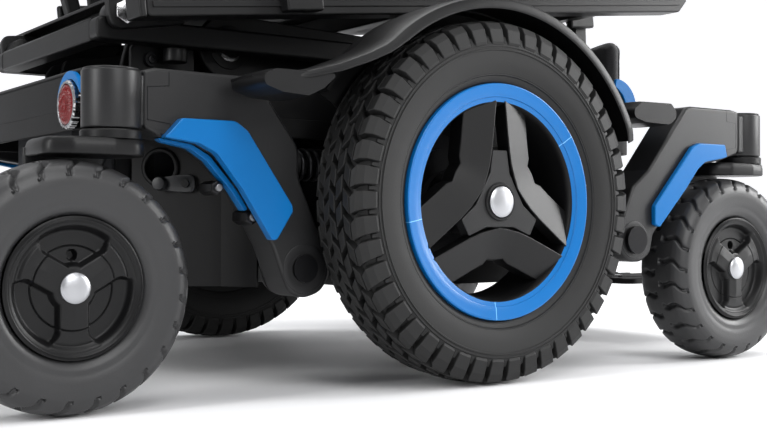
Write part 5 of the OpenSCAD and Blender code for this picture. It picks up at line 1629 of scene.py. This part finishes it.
def joystick():
    """Control case lofted from one rounded outline; ring, gaiter, stem, knob and button are turned
    profiles."""
    y, u0 = -0.272, 0.520
    slot = NODE_SLOT["joystick_box"]
    rect = np.array([(0.4752, y - 0.0318), (0.5748, y - 0.0318), (0.5748, y + 0.0318), (0.4752, y + 0.0318)])
    o = round_corners(rect, 0.014, 8)
    c, n = np.array([0.525, y]), len(o)
    lev = [(0.2562, 0.86), (0.2575, 0.90), (0.2700, 0.985), (0.2800, 1.0), (0.2840, 1.0), (0.2862, 0.975),
           (0.2870, 0.93), (0.2871, 0.6)]
    v = np.concatenate([np.column_stack([c[0] + (o[:, 0] - c[0]) * k, c[1] + (o[:, 1] - c[1]) * k,
                                         np.full(n, z)]) for z, k in lev])
    mesh_piece("control_case", seat_at(v), grid_faces(len(lev), n, False, True) + [list(range(n))[::-1],
                                                                                   [(len(lev) - 1) * n + i for i in range(n)]],
               "armrest_right", SATIN_PLASTIC, slot, replaces=("joystick_box",), sharp=40.0)
    t = np.linspace(0, 2 * math.pi, 64, endpoint=False)

    def turned(name, prof, u, body, finish, slot, **more):
        """A profile (radius, height) turned about the seat's upright through the lever's pivot."""
        p = np.array(prof)
        k = len(p)
        v = np.stack([u + np.outer(np.cos(t), p[:, 0]), y + np.outer(np.sin(t), p[:, 0]),
                      np.broadcast_to(p[:, 1], (64, k))], -1).reshape(-1, 3)
        return mesh_piece(name, seat_at(v), grid_faces(64, k, True, False), body, finish, slot, merge=True,
                          sharp=38.0, **more)

    turned("control_ring", [(0.0165, 0.2865), (0.0165, 0.2895), (0.0178, 0.2908), (0.0222, 0.2908),
                            (0.0238, 0.2893), (0.0240, 0.2866), (0.0165, 0.2865)], u0,
           "armrest_right", BLACK_COAT, slot)
    turned("gimbal_cup", [(0.0, 0.2765), (0.0128, 0.2765), (0.0130, 0.2770), (0.0130, 0.2810),
                          (0.0126, 0.2818), (0.0, 0.2818)], u0, "joystick_gimbal", STEEL,
           NODE_SLOT["joystick_gimbal"], replaces=("joystick_gimbal",))
    w = 0.279
    ridge = [(0.0, w + 0.0150), (0.0098, w + 0.0150), (0.0101, w + 0.0157), (0.0088, w + 0.0166),
             (0.0092, w + 0.0178), (0.0082, w + 0.0187),
             (0.0088, w + 0.0200), (0.0069, w + 0.0210), (0.0071, w + 0.0225), (0.0052, w + 0.0238),
             (0.0, w + 0.0240)]
    turned("lever_gaiter", ridge, u0, "joystick_lever", TREAD, NODE_SLOT["joystick_lever"],
           replaces=("joystick_lever",))
    turned("lever_stem", [(0.0, w - 0.004), (0.0040, w - 0.004), (0.0040, w + 0.0385), (0.0, w + 0.0385)],
           u0, "joystick_lever", STEEL,
           NODE_SLOT["joystick_lever"])
    turned("lever_knob", [(0.0, w + 0.0360), (0.0050, w + 0.0360), (0.0062, w + 0.0368),
                          (0.0072, w + 0.0400), (0.0088, w + 0.0445), (0.0098, w + 0.0475),
                          (0.0099, w + 0.0492), (0.0090, w + 0.0520), (0.0068, w + 0.0537),
                          (0.0035, w + 0.0541), (0.0, w + 0.0541)], u0, "joystick_lever",
           SATIN_PLASTIC, NODE_SLOT["joystick_lever"])
    turned("power_cap", [(0.0, 0.2830), (0.0068, 0.2830), (0.0070, 0.2835), (0.0070, 0.2885),
                         (0.0062, 0.2893), (0.0030, 0.2889), (0.0, 0.2887)], 0.556, "power_button",
           GREEN, NODE_SLOT["power_button"], replaces=("power_button",))


seat_parts()
back_parts()
leg_parts()
arm_rests()
joystick()


# ------------------------------------------------------------------ stage
def backdrop():
    """A floor that rises behind in one smooth sweep and glows brighter with distance behind the chair, as
    painted light.
    """
    n = 60
    q = np.linspace(0, 1, n)
    y = np.where(q < 0.5, q * 2 * 14 - 6, 8 + np.sin((q - 0.5) * math.pi) * 4)
    z = np.where(q < 0.5, 0.0, (1 - np.cos((q - 0.5) * math.pi)) * 6)
    a = math.radians(-35.47)
    xs = np.array([-14.0, 14.0])
    X, Y = np.meshgrid(xs, y, indexing="ij")
    Z = np.broadcast_to(z, X.shape)
    v = np.stack([X * math.cos(a) - Y * math.sin(a), X * math.sin(a) + Y * math.cos(a), Z - 0.0004],
                 -1).reshape(-1, 3)
    f = Finish("pale_floor_painted_glow")
    slow = f.noise(1.5, 2.0)
    x, y, z = f.xyz()
    # painted light: the floor's emission rises from none near the chair to pale grey far behind it,
    # brightening the back of the floor
    far = (x * 0.580 + y * 0.814).ease(1.0, 3.2)
    f.set(Base_Color=f.mix(slow, rgb(238, 238, 239), rgb(243, 243, 244)), Roughness=0.6,
          Emission_Strength=1.0,
          Emission_Color=f.mix(far, (0.0, 0.0, 0.0, 1.0), (0.55, 0.55, 0.56, 1.0)))
    ob = mesh_piece("floor_sweep", v, grid_faces(2, n), None, f.mat)
    return ob


backdrop()


def light(name, place, aim, size, power, shape=(1.0, 1.0), col=(1, 1, 1)):
    """A soft rectangular lamp at a place, turned towards an aim point."""
    d = bpy.data.lights.new(name, "AREA")
    d.shape, d.size, d.size_y = "RECTANGLE", size * shape[0], size * shape[1]
    d.energy, d.color = power, col
    o = bpy.data.objects.new(name, d)
    bpy.context.scene.collection.objects.link(o)
    o.location = place
    from mathutils import Vector
    o.rotation_mode = "QUATERNION"
    o.rotation_quaternion = (Vector(aim) - Vector(place)).to_track_quat("-Z", "Y")
    return o


light("top_soft", (0.2, 0.6, 3.6), (0.0, 0.0, 0.0), 3.4, 128)
light("floor_front", (-0.6, -2.6, 3.0), (-0.3, -1.0, 0.0), 1.6, 44)
light("right_panel", (2.9, -1.5, 1.2), (0.1, -0.2, 0.2), 1.0, 95, (1.0, 1.6))
light("left_panel", (-2.4, -0.4, 0.9), (-0.3, -0.2, 0.2), 0.7, 26, (0.6, 1.8))
light("near_panel", (-0.1, -3.2, 1.6), (0.0, -0.2, 0.2), 1.3, 42)
world = bpy.data.worlds.new("studio")
world.use_nodes = True
world.node_tree.nodes["Background"].inputs[0].default_value = (0.96, 0.97, 1.0, 1.0)
world.node_tree.nodes["Background"].inputs[1].default_value = 0.42
bpy.context.scene.world = world
bpy.context.scene.view_settings.view_transform = "Standard"
